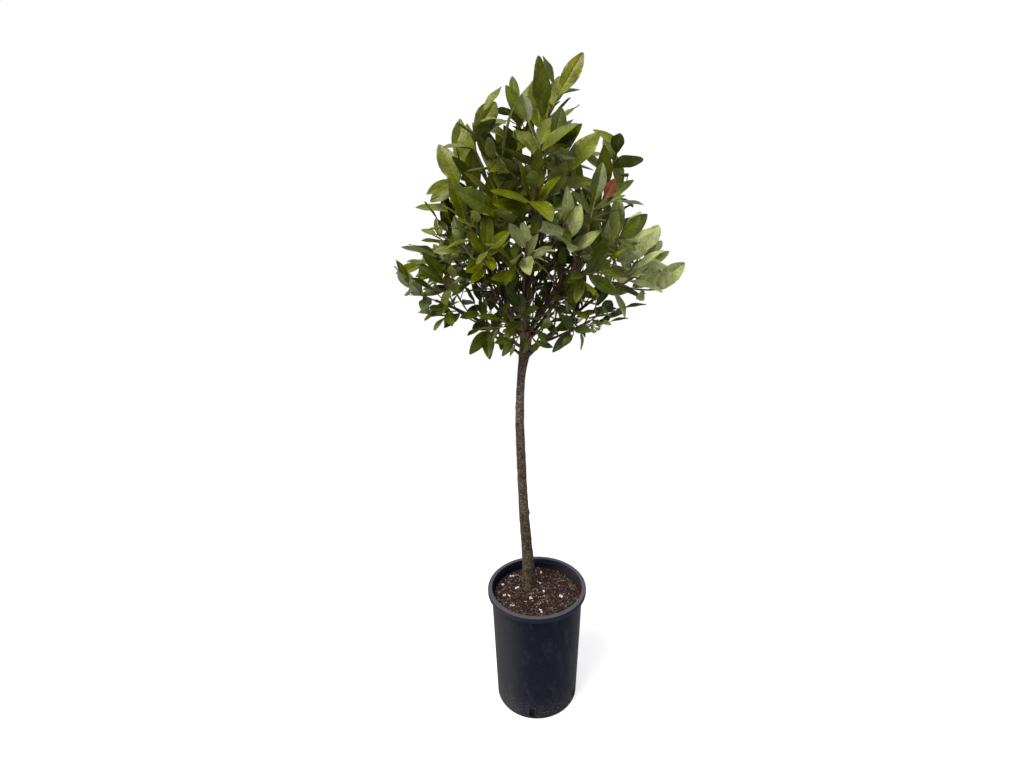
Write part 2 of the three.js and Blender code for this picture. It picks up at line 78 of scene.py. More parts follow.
# The pot: its height and its lip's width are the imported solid's, and the rest is its wall, lip and holes.
POT_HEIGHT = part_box("pot")[1].z / MM
RIM_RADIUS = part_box("pot")[1].x / MM
MOUTH_RADIUS = 139
WALL = 2.5
LIP_DEPTH = 16
LIP_ROUND = 4.5
LIP_SKIRT = 2.5
LIP_TUCK = ((-2, 0.6), (0, -1.5))
FOOT_ROUND = 3
BASE_RADIUS = 126
POT_SIDES = 150
BODY_ROWS = 9
DRAIN_HOLES = 5
DRAIN_SILL = 5
DRAIN_HEIGHT = 34
DRAIN_SIDES = 3
FIRST_DRAIN_DEG = -97
POT_SHARP_DEG = 30

# The potting mix: its level, its clearance from the pot, its rings, and the height, scale and layer of each
# noise that makes its relief.
SOIL_LEVEL = 355
SOIL_CLEAR = 0.9
SOIL_SEAT = 0.3
SOIL_RINGS = 64
SOIL_RING_POWER = 0.8
SOIL_RELIEF = [(3.0, 0.018, 0), (1.5, 0.16, 7), (0.9, 0.42, 3)]

# What lies on the potting mix. A chip's width and thickness are shares of its length.
LITTER_SEED = 11
CHIPS = {"chips_dark": 900, "chips_brown": 560, "chips_red": 200, "chips_tan": 190}
CHIP_SIZE = (3.2, 9)
CHIP_VARY = (0.7, 1.3)
CHIP_WIDE = (0.35, 0.7)
CHIP_THICK = (0.18, 0.4)
CHIP_RISE = (-0.3, 1.1)
LITTER_SHARP_DEG = 25
GRAIN_ROUGH = (0.72, 1.2)
GRAIN_TURN = (0, 6.3)
GRAIN_ROUND = 0.5
WALL_MARGIN = 5
TRUNK_MARGIN = 21
FIBRES = 90
FIBRE_LENGTH = (9, 30)
FIBRE_BEND = 0.8
FIBRE_RADII = [0.25, 0.5, 0.55, 0.6, 0.5, 0.45, 0.2]
FIBRE_SIDES = 5
FIBRE_MARGIN = 3
FIBRE_RISE = 1.3
FIBRE_WAVE = 0.5
FIBRE_WAVES = 9
GRIT_CLUSTERS = [
    (-84, 88), (8, 57), (-101, -9), (-86, -12), (-75, -48), (-62, 28),
    (-108, 40), (19, 8), (72, -9), (9, -76), (-20, -22), (14, 108),
]
GRIT_BIG = 3
GRIT_SIZE = (2.8, 4.8)
GRIT_SPREAD = 3.2
GRIT_SQUASH = (0.6, 1.1)
GRIT_RISE = 1.6
LOOSE_GRIT = 70
LOOSE_GRIT_SIZE = (0.7, 1.9)
LOOSE_GRIT_RISE = 1.1

# The trunk: its middle line from the potting mix to the head, and its radius along the way.
TRUNK_LINE = [
    (-24, 43, 340),
    (-29, 38, 465),
    (-39, 33, 620),
    (-47, 26, 830),
    (-48, 21, 960),
    (-42, 17, 1058),
    (-35, 14, 1112),
    (-30, 12, 1186),
]
TRUNK_RADII = [21, 18.6, 16.9, 15.6, 14, 13, 12.5, 11.8, 11.3, 12.4, 14.6, 14, 12]
TRUNK_SIDES = 40
TRUNK_RINGS = 200
BOUGH_SIDES = 18
BOUGH_RINGS = 36

# The bark's relief: how fine it is remeshed, and the depth and scales of its swellings, furrows and marks.
# Furrows and marks have one scale across the limb and one along it.
BARK_GRAIN = 1.7
BARK_SMOOTHING = 3
BARK_SWELL = 0.9
SWELL_SCALE = 0.045
BARK_FURROW = 0.42
FURROW_SCALES = (0.42, 0.06)
BARK_MARK = 0.3
MARK_SCALES = (0.16, 0.75)
MARK_SHIFT = 9
MARK_FROM = 0.22
MARK_EDGE = 5
FLARE_LOBES = 4
FLARE_DEPTH = 0.16
FLARE_HEIGHT = 60
FLARE_TWIST = 90
KNOT_AT = (-22, 27, 621)
KNOT_WIDTH = 9
KNOT_HEIGHT = 3.5
RELIEF_HEIGHTS = (1100, 1200)
RELIEF_SHARES = (1, 0.5)
NO_SHARP_DEG = 180

# The boughs: where each leaves the trunk, a point that it bends through, its tip and its end radii.
BOUGHS = {
    "leader": ((-30, 12, 1172), (-26, 4, 1340), (-14, -2, 1530), (7.4, 4.2)),
    "right_low": ((-36, 14, 1098), (26, 2, 1166), (120, -20, 1246), (6.8, 4.2)),
    "right_high": ((-30, 14, 1160), (44, 36, 1280), (118, 46, 1392), (5.8, 3.6)),
    "right_back": ((-28, 16, 1150), (58, 96, 1240), (112, 142, 1318), (5.4, 3.5)),
    "right_front": ((-28, 8, 1164), (28, -62, 1256), (70, -112, 1330), (5.2, 3.4)),
    "right_foot": ((-30, 12, 1128), (24, -30, 1158), (74, -56, 1186), (4.6, 3.4)),
    "left_high": ((-32, 12, 1170), (-74, -8, 1280), (-108, -18, 1392), (6, 3.8)),
    "left_mid": ((-34, 14, 1152), (-104, 14, 1238), (-172, 20, 1312), (5.6, 3.4)),
    "left_low": ((-36, 10, 1128), (-92, -22, 1176), (-150, -44, 1216), (4.6, 3.4)),
    "left_foot": ((-38, 14, 1104), (-66, 22, 1130), (-92, 34, 1142), (4.2, 3.4)),
    "left_back": ((-34, 18, 1158), (-90, 92, 1248), (-134, 142, 1330), (5.4, 3.5)),
    "front_high": ((-30, 8, 1176), (-22, -60, 1290), (-8, -104, 1392), (5.6, 3.6)),
    "front": ((-30, 8, 1150), (-38, -56, 1236), (-32, -104, 1306), (4.8, 3.6)),
    "front_left": ((-34, 8, 1160), (-80, -72, 1250), (-116, -122, 1322), (5.2, 3.4)),
    "front_low": ((-32, 8, 1136), (-30, -52, 1168), (-22, -96, 1198), (4.4, 3.4)),
    "back_high": ((-28, 18, 1176), (-20, 78, 1310), (-8, 104, 1440), (5.8, 3.6)),
    "back": ((-30, 18, 1152), (-26, 96, 1244), (-14, 142, 1330), (5, 3.5)),
    "back_low": ((-30, 20, 1136), (-14, 84, 1176), (4, 132, 1212), (4.6, 3.4)),
}

# The crown's outline seen from the front: how far it reaches to the left and right of the pot's middle, at
# heights that are a step apart, and its depth as a share of that width.
CROWN_FOOT = 1040
CROWN_STEP = 80
CROWN_LEFT = [110, 205, 300, 345, 375, 340, 290, 255, 220, 95, 60]
CROWN_RIGHT = [10, 110, 190, 340, 370, 345, 265, 270, 185, 105, 110]
CROWN_DEPTH = 0.95

# The foliage, mass by mass. Each grows from its bough's tip to its heart, and on in so many shoots of so
# many leaves. Spread is how far the shoots lean out, in degrees, and sag how far the leaves hang. Each
# spray takes one of the tones. The seed turns each mass round its stem.
SEED = 254
MASS_VALUES = ("bough", "heart", "shoots", "spread", "shoot", "leaves", "leaf", "sag", "tones")
# The pale tone in a mass's tones is painted sheen, and the right mass has most of it.
MASSES = {
    "top": ("leader", (-10, 10, 1680), 7, 35, 130, 6, 115, -0.1, "olive olive fresh olive deep"),
    "right_top": ("right_high", (170, 10, 1530), 7, 55, 120, 6, 105, 0, "olive deep deep olive"),
    "right": ("right_low", (240, -40, 1330), 7, 45, 120, 6, 105, 0.15, "pale pale olive pale"),
    "right_back": ("right_back", (170, 180, 1390), 7, 60, 110, 6, 95, 0, "deep olive"),
    "right_front": ("right_front", (110, -150, 1420), 6, 55, 110, 6, 85, 0, "deep pale olive deep"),
    "right_foot": ("right_foot", (130, -80, 1220), 6, 60, 70, 5, 75, 0.5, "fresh deep blue olive"),
    "left_top": ("left_high", (-140, -40, 1580), 7, 55, 130, 6, 120, 0, "olive olive olive deep"),
    "left": ("left_mid", (-240, 20, 1400), 7, 55, 110, 6, 90, 0.05, "deep olive deep"),
    "left_low": ("left_low", (-250, -70, 1270), 5, 40, 100, 6, 85, 0.35, "deep blue olive"),
    "left_foot": ("left_foot", (-120, 10, 1170), 5, 65, 60, 5, 75, 0.7, "blue deep olive"),
    "left_back": ("left_back", (-180, 200, 1400), 7, 60, 110, 6, 95, 0, "deep olive"),
    "front_high": ("front_high", (0, -140, 1540), 7, 60, 120, 6, 110, 0, "olive deep olive deep"),
    "front": ("front", (-20, -140, 1450), 5, 40, 100, 6, 80, 0, "deep pale olive"),
    "front_left": ("front_left", (-110, -150, 1430), 6, 50, 90, 6, 85, 0, "deep olive olive"),
    "front_low": ("front_low", (-30, -120, 1200), 4, 60, 80, 4, 55, 0.2, "deep blue deep"),
    "back_high": ("back_high", (-10, 150, 1590), 7, 55, 120, 6, 105, 0, "olive deep olive"),
    "back": ("back", (0, 220, 1420), 6, 60, 120, 5, 100, 0.05, "olive deep fresh"),
    "back_low": ("back_low", (30, 160, 1260), 6, 70, 110, 5, 80, 0.35, "deep blue olive"),
}
FOLIAGE = [dict(zip(MASS_VALUES, row)) for row in MASSES.values()]

# Stems and shoots of the solids, and how their leaves stand.
STEM_KNEE = 0.45
STEM_START = 0.3
STEM_RADII = [4, 3.4]
SHOOT_RADII = [1.6, 2.4, 1.8]
SHOOT_SPAN = (0.2, 0.94)
LAST_SHOOT = dict(share=0.98, lean=8)
SHOOT_KNEE = 0.5
SHOOT_RISE = 0.45
GOLDEN_DEG = 137.5
LEAF_STATIONS = [0, 0.34, 0.7, 1]
LEAF_WIDTHS = [0, 0.94, 0.86, 0]
LEAF_BREADTH = 0.39
LEAF_SUNK = 1
LEAF_SPAN = (0.3, 0.9)
LAST_LEAF = dict(share=0.97, out=12)
LEAF_OUT_DEG = (66, 34)
LEAF_GROWTH = (0.8, 1.06)
LEAF_STEP_DEG = 60
LEAF_TWIST_DEG = 80
LEAF_CURL = (0.15, 0.55)
LIGHT = np.array([0.15, -0.55, 0.75])
FACE_ALONG_SHOOT = 0.6

# How far chance may change a size, from the low share to the high one.
VARY_LEAN = (0.8, 1.2)
VARY_SHOOT = (0.75, 1.15)
VARY_LEAF = (0.86, 1.14)
VARY_WIDTH = (0.88, 1.12)
VARY_SAG = (0.6, 1.4)

# How far leaves and twigs keep from each other, and the turns at which a leaf is tried, for the growth that
# the solids have and for the finer growth.
COARSE = dict(leaf=4, bark=2.5, twig=3.5, turns=(0, 35, -35, 70, -70, 110))
FINE = dict(leaf=2.4, bark=1.2, twig=1.5, turns=(0, 60, -60))
SHOOT_FREE = 0.25
BLADE_FREE = 0.16
BLADE_ROWS = 10
BLADE_SPACING = 7
BARK_SPACING = 5
BARK_REACH = 40
BLADE_REACH = 85

# The finer growth: spurs on each stem, side shoots on each shoot, and thin twigs that rise from each bough.
# Span is where they stand, lean how far out they go, in degrees, and radii are those of the twig. The salt
# and the keys that each parent has set their draws apart, and a spray's keys give its turn.
FINER = {
    "spur": dict(
        salt=80, count=3, span=(0.08, 0.8), lean=52, length=70, rise=0.4, radii=[1.4, 1.5, 0.9],
        leaves=3, leaf_share=0.7, leaf_span=(0.45, 0.9), sag=0.2,
    ),
    "side_shoot": dict(
        salt=200, count=2, span=(0.3, 0.85), lean=46, length=52, rise=0.3, radii=[1.1, 1.2, 0.8],
        leaves=3, leaf_share=0.68, leaf_span=(0.4, 0.9), sag=0.1,
    ),
    "inner_twig": dict(
        salt=200, count=11, span=(0.06, 0.8), lean=36, length=190, rise=0.75, radii=[2.3, 1.8, 1.1],
        leaves=4, leaf_share=1, leaf_span=(0.5, 0.94), sag=0.15,
    ),
}
KEYS_A_PARENT = 10
TURNS_A_KEY = 7
INNER_LEAF = 56
# The inner twigs' leaves take the dark tone: painted shade inside the crown, on leaves that are also older
# and darker green.
INNER_TONES = "dark deep dark"

# Single sprays of another tone: about where their tips are, seen from the front, their kind, and the tone.
ODD_SPRAYS = [
    ((226, 1530), "side_shoot", "red"),
    # The two pale sprays are painted sheen.
    ((40, 1427), "shoot", "pale"),
    ((65, 1450), "shoot", "pale"),
]

# The dice, and which of its keys draws what.
KEY_WEIGHTS = (12.9898, 78.233, 37.719, 4.581)
WAVE_HEIGHT = 43758.5453
LEAN_KEY = 1
LENGTH_KEY = 2
SAG_KEY = 2
LEAF_KEY = 3
PLACE_KEY = 4
TWIST_KEY = 5
CURL_KEY = 7
WIDTH_KEY = 8
TONE_KEY = 11

# How lines are measured, whose the bark is, and what the numbers of a blade are.
NUDGE = 0.0001
LENGTH_STEPS = 200
TRUNK_OWNER = -1
FIRST_BOUGH_OWNER = 100
FIRST_ROWS = 4096
ROOT, HEADING, SIDE, NORMAL = slice(0, 3), slice(3, 6), slice(6, 9), slice(9, 12)
LENGTH, WIDTH, CURL = 12, 13, 14


def dice(*keys):
    """A number from 0 to 1 that depends only on its keys."""
    wave = WAVE_HEIGHT * math.sin(sum((k * w for k, w in zip(keys, KEY_WEIGHTS)), 0.5))
    return wave - math.floor(wave)


def between(low, high, share):
    return low + (high - low) * share


def along(values, share):
    """The value at a share of the way along an evenly spaced list."""
    return np.interp(share, np.linspace(0, 1, len(values)), values)


def unit(v):
    return v / np.linalg.norm(v, axis=-1, keepdims=True)


def dot(a, b):
    return (a * b).sum(-1)


def turned(v, axis, degrees):
    """A direction turned round an axis."""
    angle = math.radians(degrees)
    across = np.cross(axis, v) * math.sin(angle)
    return v * math.cos(angle) + across + axis * dot(axis, v) * (1 - math.cos(angle))


def leaning(axis, lean, turn):
    """A direction that leans out from an axis by lean degrees, turned round it by turn degrees."""
    side = unit(np.cross(axis, UP if abs(axis[2]) < NEARLY_UPRIGHT else RIGHT))
    return turned(axis, turned(side, axis, turn), lean)


class Line:
    """A smooth line, asked for its places at shares of the way."""

    def heading(self, share):
        return unit(self.at(min(share + NUDGE, 1)) - self.at(max(share - NUDGE, 0)))

    def points(self):
        steps = np.diff(self.at(np.linspace(0, 1, LENGTH_STEPS + 1)), axis=0)
        length = np.linalg.norm(steps, axis=1).sum()
        return self.at(np.linspace(0, 1, math.ceil(length / BARK_SPACING) + 1))


class Bend(Line):
    """A line with one bend, drawn towards its middle point."""

    def __init__(self, start, middle, end):
        self.ends = [np.array(p, float) for p in (start, middle, end)]

    def at(self, share):
        t = np.asarray(share, float)[..., None]
        start, middle, end = self.ends
        return (1 - t) ** 2 * start + 2 * (1 - t) * t * middle + t * t * end


class Through(Line):
    """A line through a list of points."""

    def __init__(self, points):
        p = np.array(points, float)
        self.known = np.vstack([2 * p[0] - p[1], p, 2 * p[-1] - p[-2]])

    def at(self, share):
        place = np.asarray(share, float) * (len(self.known) - 3)
        before = np.minimum(place.astype(int), len(self.known) - 4)
        t = (place - before)[..., None]
        a, b, c, d = (self.known[before + k] for k in range(4))
        out, in_ = (c - a) / 2, (d - b) / 2
        return b + out * t + (3 * (c - b) - 2 * out - in_) * t**2 + (2 * (b - c) + out + in_) * t**3


class Rows:
    """A table that rows of numbers are added to. The first three of a row are a place."""

    def __init__(self, width):
        self.table = np.empty((FIRST_ROWS, width))
        self.count = 0

    def add(self, rows):
        rows = np.atleast_2d(rows)
        while self.count + len(rows) > len(self.table):
            self.table = np.concatenate([self.table, np.empty_like(self.table)])
        self.table[self.count : self.count + len(rows)] = rows
        self.count += len(rows)

    def within(self, middle, reach):
        rows = self.table[: self.count]
        return rows[np.linalg.norm(rows[:, :3] - middle, axis=1) < reach]


def half_width(blade, share):
    return np.interp(share, LEAF_STATIONS, LEAF_WIDTHS) * blade[..., WIDTH] / 2


def sink(blade, share):
    return 0.5 * blade[..., CURL] * blade[..., LENGTH] * share**2


def midrib_at(blade, share):
    """The place on one blade's middle line at a share of its length."""
    return blade[ROOT] + blade[HEADING] * blade[LENGTH] * share - blade[NORMAL] * sink(blade, share)


def near_blade(blade, points, gap):
    """Which points lie closer to a blade than a gap, past the part that is at its root."""
    offset = points - blade[..., ROOT]
    share = dot(offset, blade[..., HEADING]) / blade[..., LENGTH]
    in_length = (share >= BLADE_FREE) & (share <= 1 + gap / blade[..., LENGTH])
    in_width = np.abs(dot(offset, blade[..., SIDE])) <= half_width(blade, np.minimum(share, 1)) + gap
    return in_length & in_width & (np.abs(dot(offset, blade[..., NORMAL]) + sink(blade, share)) < gap)


def blade_points(blade):
    """Points all over a blade, in rows."""
    places = []
    for share in np.linspace(BLADE_FREE, 1, BLADE_ROWS):
        half = float(half_width(blade, share))
        columns = math.ceil(half / BLADE_SPACING)
        across = np.linspace(-half, half, 2 * columns + 1)[:, None] * blade[SIDE]
        places.append(midrib_at(blade, share) + across)
    return np.concatenate(places)


def in_crown(points):
    """Which points lie within the crown's outline, rounded in plan."""
    share = (points[:, 2] - CROWN_FOOT) / (CROWN_STEP * (len(CROWN_LEFT) - 1))
    left, right = along(CROWN_LEFT, share), along(CROWN_RIGHT, share)
    from_middle = np.hypot(points[:, 0] - (right - left) / 2, points[:, 1] / CROWN_DEPTH)
    return (share >= 0) & (share <= 1) & (from_middle < (left + right) / 2)


class Crown:
    """What has grown so far: bark as points with a radius and an owner, and blades with points on them."""

    def __init__(self):
        self.bark = Rows(5)
        self.blades = Rows(3 + CURL + 1)
        self.blade_points = Rows(3)
        self.sprays = []

    def keep_bark(self, line, radii, owner):
        points = line.points()
        radius = along(radii, np.linspace(0, 1, len(points)))
        self.bark.add(np.column_stack([points, radius, np.full(len(points), owner)]))

    def keep_leaf(self, blade, points):
        self.blades.add(np.concatenate([points.mean(0), blade]))
        self.blade_points.add(points)

    def around(self, points):
        """The middle and reach of some points, and the bark and blades that may be near them."""
        middle = points.mean(0)
        reach = np.linalg.norm(points - middle, axis=1).max()
        bark = self.bark.within(middle, reach + BARK_REACH)
        return middle, reach, bark, self.blades.within(middle, reach + BLADE_REACH)[:, 3:]

    def leaf_has_room(self, blade, points, rule):
        if not in_crown(points).all():
            return False
        middle, reach, bark, others = self.around(points)
        if near_blade(blade, bark[:, :3], bark[:, 3] + rule["bark"]).any():
            return False
        if near_blade(others[:, None], points[None], rule["leaf"]).any():
            return False
        near = self.blade_points.within(middle, reach + rule["leaf"])
        return not near_blade(blade, near, rule["leaf"]).any()

    def twig_has_room(self, points, radius, owner, rule):
        if not in_crown(points).all():
            return False
        *_, bark, others = self.around(points)
        bark = bark[bark[:, 4] != owner]
        apart = np.linalg.norm(points[:, None] - bark[None, :, :3], axis=2)
        if (apart < radius + bark[:, 3] + rule["twig"]).any():
            return False
        return not near_blade(others[:, None], points[None], radius + rule["bark"]).any()

    def grow_spray(self, line, radii, owner, rule, leaves):
        """Keeps a twig where it has room, with the leaves that find room, each tried at several turns."""
        points = line.points()
        if not self.twig_has_room(points[int(len(points) * SHOOT_FREE) :], radii[0], owner, rule):
            return None
        self.keep_bark(line, radii, owner)
        spray = dict(line=line, radii=radii, blades=[])
        for tries in leaves:
            for blade in tries:
                points = blade_points(blade)
                if self.leaf_has_room(blade, points, rule):
                    self.keep_leaf(blade, points)
                    spray["blades"].append(blade)
                    break
        self.sprays.append(spray)
        return spray


def shoot_line(start, heading, length, rise=SHOOT_RISE):
    """A shoot bends upwards from the way that it sets off."""
    knee = start + heading * length * SHOOT_KNEE
    return Bend(start, knee, knee + unit(heading + UP * rise) * length * (1 - SHOOT_KNEE))


def stem_line(bough, heart):
    """A line from just past a bough's tip that sets off the way the bough points and ends at the heart."""
    start = bough.at(1) + bough.heading(1) * STEM_START
    return Bend(start, start + bough.heading(1) * np.linalg.norm(heart - start) * STEM_KNEE, heart)


def blade_at(place, heading, shoot_heading, length, keys):
    """A blade that turns its face to the light: its root, its three directions, and its sizes."""
    face = shoot_heading * FACE_ALONG_SHOOT + LIGHT
    twist = between(-0.5, 0.5, dice(*keys, TWIST_KEY)) * LEAF_TWIST_DEG
    side = turned(unit(np.cross(heading, face)), heading, twist)
    normal = unit(np.cross(side, heading))
    width = length * LEAF_BREADTH * between(*VARY_WIDTH, dice(*keys, WIDTH_KEY))
    curl = between(*LEAF_CURL, dice(*keys, CURL_KEY))
    return np.concatenate([place - heading * LEAF_SUNK, heading, side, normal, [length, width, curl]])


def leaves_of(shoot, spec, keys, turn, rule, span=LEAF_SPAN):
    """For each leaf of a shoot, the blades to try in turn."""
    for j in range(spec["leaves"]):
        leaf_keys = (*keys, j)
        is_last = j == spec["leaves"] - 1
        share = LAST_LEAF["share"] if is_last else between(*span, j / (spec["leaves"] - 1))
        along_shoot = shoot.heading(share)
        lean = between(*LEAF_OUT_DEG, share) * between(*VARY_LEAN, dice(*leaf_keys, LEAN_KEY))
        lean = LAST_LEAF["out"] if is_last else lean
        sag = spec["sag"] * between(*VARY_SAG, dice(*leaf_keys, SAG_KEY))
        growth = between(*LEAF_GROWTH, share)
        length = spec["leaf"] * growth * between(*VARY_LEAF, dice(*leaf_keys, LEAF_KEY))
        first = turn + j * GOLDEN_DEG
        headings = (unit(leaning(along_shoot, lean, first + more) - UP * sag) for more in rule["turns"])
        yield (blade_at(shoot.at(share), heading, along_shoot, length, leaf_keys) for heading in headings)


def grow_mass(crown, mass, index, stem):
    """Shoots that leave the stem at the golden angle, each with its leaves."""
    turn = 360 * dice(index, SEED)
    for i in range(mass["shoots"]):
        is_last = i == mass["shoots"] - 1
        share = LAST_SHOOT["share"] if is_last else between(*SHOOT_SPAN, i / (mass["shoots"] - 1))
        lean = mass["spread"] * between(*VARY_LEAN, dice(index, i, LEAN_KEY, SEED))
        lean = LAST_SHOOT["lean"] if is_last else lean
        heading = leaning(stem.heading(share), lean, turn + i * GOLDEN_DEG)
        length = mass["shoot"] * between(*VARY_SHOOT, dice(index, i, LENGTH_KEY, SEED))
        shoot = shoot_line(stem.at(share), heading, length)
        leaves = leaves_of(shoot, mass, (index, i), turn + i * LEAF_STEP_DEG, COARSE)
        spray = crown.grow_spray(shoot, SHOOT_RADII, index, COARSE, leaves)
        if spray:
            spray.update(kind="shoot", keys=(index, i), tones=mass["tones"])


def grow_finer(crown, parent, kind, owner, keys, tones, leaf):
    """Finer sprays all along a parent line."""
    spec = {**FINER[kind], "leaf": leaf * FINER[kind]["leaf_share"]}
    for k in range(spec["count"]):
        own = (keys[0] + spec["salt"], keys[1] * KEYS_A_PARENT + k)
        share = between(*spec["span"], (k + dice(*own, PLACE_KEY)) / spec["count"])
        lean = spec["lean"] * between(*VARY_LEAN, dice(*own, LEAN_KEY))
        heading = leaning(parent.heading(share), lean, (own[0] * TURNS_A_KEY + own[1]) * GOLDEN_DEG)
        length = spec["length"] * between(*VARY_SHOOT, dice(*own, LENGTH_KEY))
        line = shoot_line(parent.at(share), unit(heading + UP * spec["rise"] / 2), length, spec["rise"])
        leaves = leaves_of(line, spec, own, own[1] * LEAF_STEP_DEG, FINE, spec["leaf_span"])
        spray = crown.grow_spray(line, spec["radii"], owner, FINE, leaves)
        if spray:
            spray.update(kind=kind, keys=own, tones=tones)


def grow_crown():
    """Every stem has its place before any leaf grows, and the masses grow before anything finer."""
    crown = Crown()
    trunk = Through(TRUNK_LINE)
    crown.keep_bark(trunk, TRUNK_RADII, TRUNK_OWNER)
    boughs = {}
    for owner, (name, (foot, bend, tip, radii)) in enumerate(BOUGHS.items(), FIRST_BOUGH_OWNER):
        boughs[name] = Bend(foot, bend, tip)
        crown.keep_bark(boughs[name], radii, owner)
    stems = [stem_line(boughs[mass["bough"]], np.array(mass["heart"], float)) for mass in FOLIAGE]
    for index, stem in enumerate(stems):
        crown.keep_bark(stem, STEM_RADII, index)
    for index, (mass, stem) in enumerate(zip(FOLIAGE, stems)):
        grow_mass(crown, mass, index, stem)
    shoots = list(crown.sprays)
    for index, (mass, stem) in enumerate(zip(FOLIAGE, stems)):
        grow_finer(crown, stem, "spur", index, (index, 0), mass["tones"], mass["leaf"])
    for shoot in shoots:
        index = shoot["keys"][0]
        leaf = FOLIAGE[index]["leaf"]
        grow_finer(crown, shoot["line"], "side_shoot", index, shoot["keys"], shoot["tones"], leaf)
    for k, bough in enumerate(boughs.values()):
        grow_finer(crown, bough, "inner_twig", FIRST_BOUGH_OWNER + k, (k, 0), INNER_TONES, INNER_LEAF)
    return crown, trunk, boughs, stems


# How a leaf is made: where its side veins leave the midrib and how they sweep forward, the columns of its
# blade from the midrib out, its stalk, and its fold, waves and thickness.
VEIN_PAIRS = 7
VEIN_SPAN = (0.13, 0.84)
VEIN_HALF = 0.0046
LEAF_ENDS = (0.05, 0.93)
VEIN_SWEEP = 0.17
BLADE_COLUMNS = (0, 0.34, 0.68, 1)
VEIN_REACH = 0.68
MIDRIB_HALF = 0.75
MIDRIB_TAPER = 0.6
MIDRIB_MOST = 0.3
MIDRIB_GROOVE = 0.25
MIDRIB_KEEL = 0.5
STALK_SHARE = 0.065
STALK_STEP = 0.62
STALK_RADII = (1.15, 0.85, 0.7)
STALK_SIDES = 6
STALK_FULL_LEAF = 90
BLADE_THICK = 0.45
OUTLINE_POWER = 0.74
OUTLINE_SKEW = (0.84, 1.04)
WIDTH_OF_OUTLINE = 0.98
FOLD = (0.12, 0.34)
FOLD_LEVEL = 0.35
WAVE = (0.01, 0.055)
WAVES = 1.7
WAVE_SHIFT = 1.2
ROLL = 0.10
LEAVES_A_PIECE = 340
UPPER, RIBS, UNDER = range(3)

# How twigs are made: for each kind, the piece that it is joined in, its rings, and the share of its line
# that it keeps in any case. It ends a little past the last leaf or fork that is on it. Bud shape gives
# shares of a bud's length and radius, from its foot up.
TWIGS = {
    "shoot": dict(piece="young_shoots", rings=12, least=0.6),
    "side_shoot": dict(piece="young_shoots", rings=8, least=0.45),
    "spur": dict(piece="brown_twigs", rings=9, least=0.45),
    "inner_twig": dict(piece="brown_twigs", rings=12, least=0.85),
}
STEM_RINGS = 16
TWIG_SIDES = 8
TWIG_SWELL = 0.12
TWIG_SWELLINGS = 2.4
PAST_LAST_LEAF = 0.03
ON_TWIG = 1.5
BUD_SHAPE = np.array([(0.15, 0.9), (0.45, 1), (0.8, 0.55), (1, 0.12)])
BUD_LENGTH = 5
BUD_RADIUS = 1.7
SAME_SURFACE_DEG = 50


def piece_from(name, places, faces, materials, slot, finishes=None, sharp_deg=SAME_SURFACE_DEG):
    """A mesh piece from places in millimetres and lists of corners, which rides on the plant's one body."""
    mesh = bpy.data.meshes.new(name)
    mesh.from_pydata((np.asarray(places) * MM).tolist(), [], faces)
    for material in materials:
        mesh.materials.append(material)
    if finishes is not None:
        mesh.polygons.foreach_set("material_index", np.asarray(finishes, np.int32))
    mesh.polygons.foreach_set("use_smooth", np.ones(len(mesh.polygons), bool))
    mesh.set_sharp_from_angle(angle=math.radians(sharp_deg))
    mesh.update()
    piece = bpy.data.objects.new(name, mesh)
    bpy.context.scene.collection.objects.link(piece)
    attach(piece, "root")
    return piece


class Heap:
    """Shapes that are joined into one mesh."""

    def __init__(self):
        self.places = []
        self.faces = []
        self.count = 0

    def add(self, places, faces):
        self.places.append(places)
        self.faces += [tuple(corner + self.count for corner in face) for face in faces]
        self.count += len(places)

    def piece(self, name, materials, slot, **settings):
        return piece_from(name, np.concatenate(self.places), self.faces, materials, slot, **settings)


def angles_round(sides):
    return np.linspace(0, 2 * np.pi, sides, endpoint=False)


def spokes(turn, across, other):
    """Directions at those angles round a middle, from two that are square to each other."""
    return np.cos(turn)[:, None] * across + np.sin(turn)[:, None] * other


def ring_faces(rings, sides):
    """The walls between rings of vertices."""
    faces = []
    for first in range(0, (rings - 1) * sides, sides):
        for k in range(sides):
            a, b = first + k, first + (k + 1) % sides
            faces.append((a, b, b + sides, a + sides))
    return faces


def fan_faces(first, sides, middle):
    """The faces between a ring of vertices and one in its middle."""
    return [(first + k, first + (k + 1) % sides, middle) for k in range(sides)]


def leaf_rows():
    """The stations of a leaf's rows, and which strips between them are side veins."""
    rows, is_vein = [0, LEAF_ENDS[0]], [False]
    for k in range(VEIN_PAIRS):
        vein = between(*VEIN_SPAN, k / (VEIN_PAIRS - 1))
        rows += [vein - VEIN_HALF, vein + VEIN_HALF]
        is_vein += [False, True]
    return rows + [LEAF_ENDS[1], 1], is_vein + [False, False]


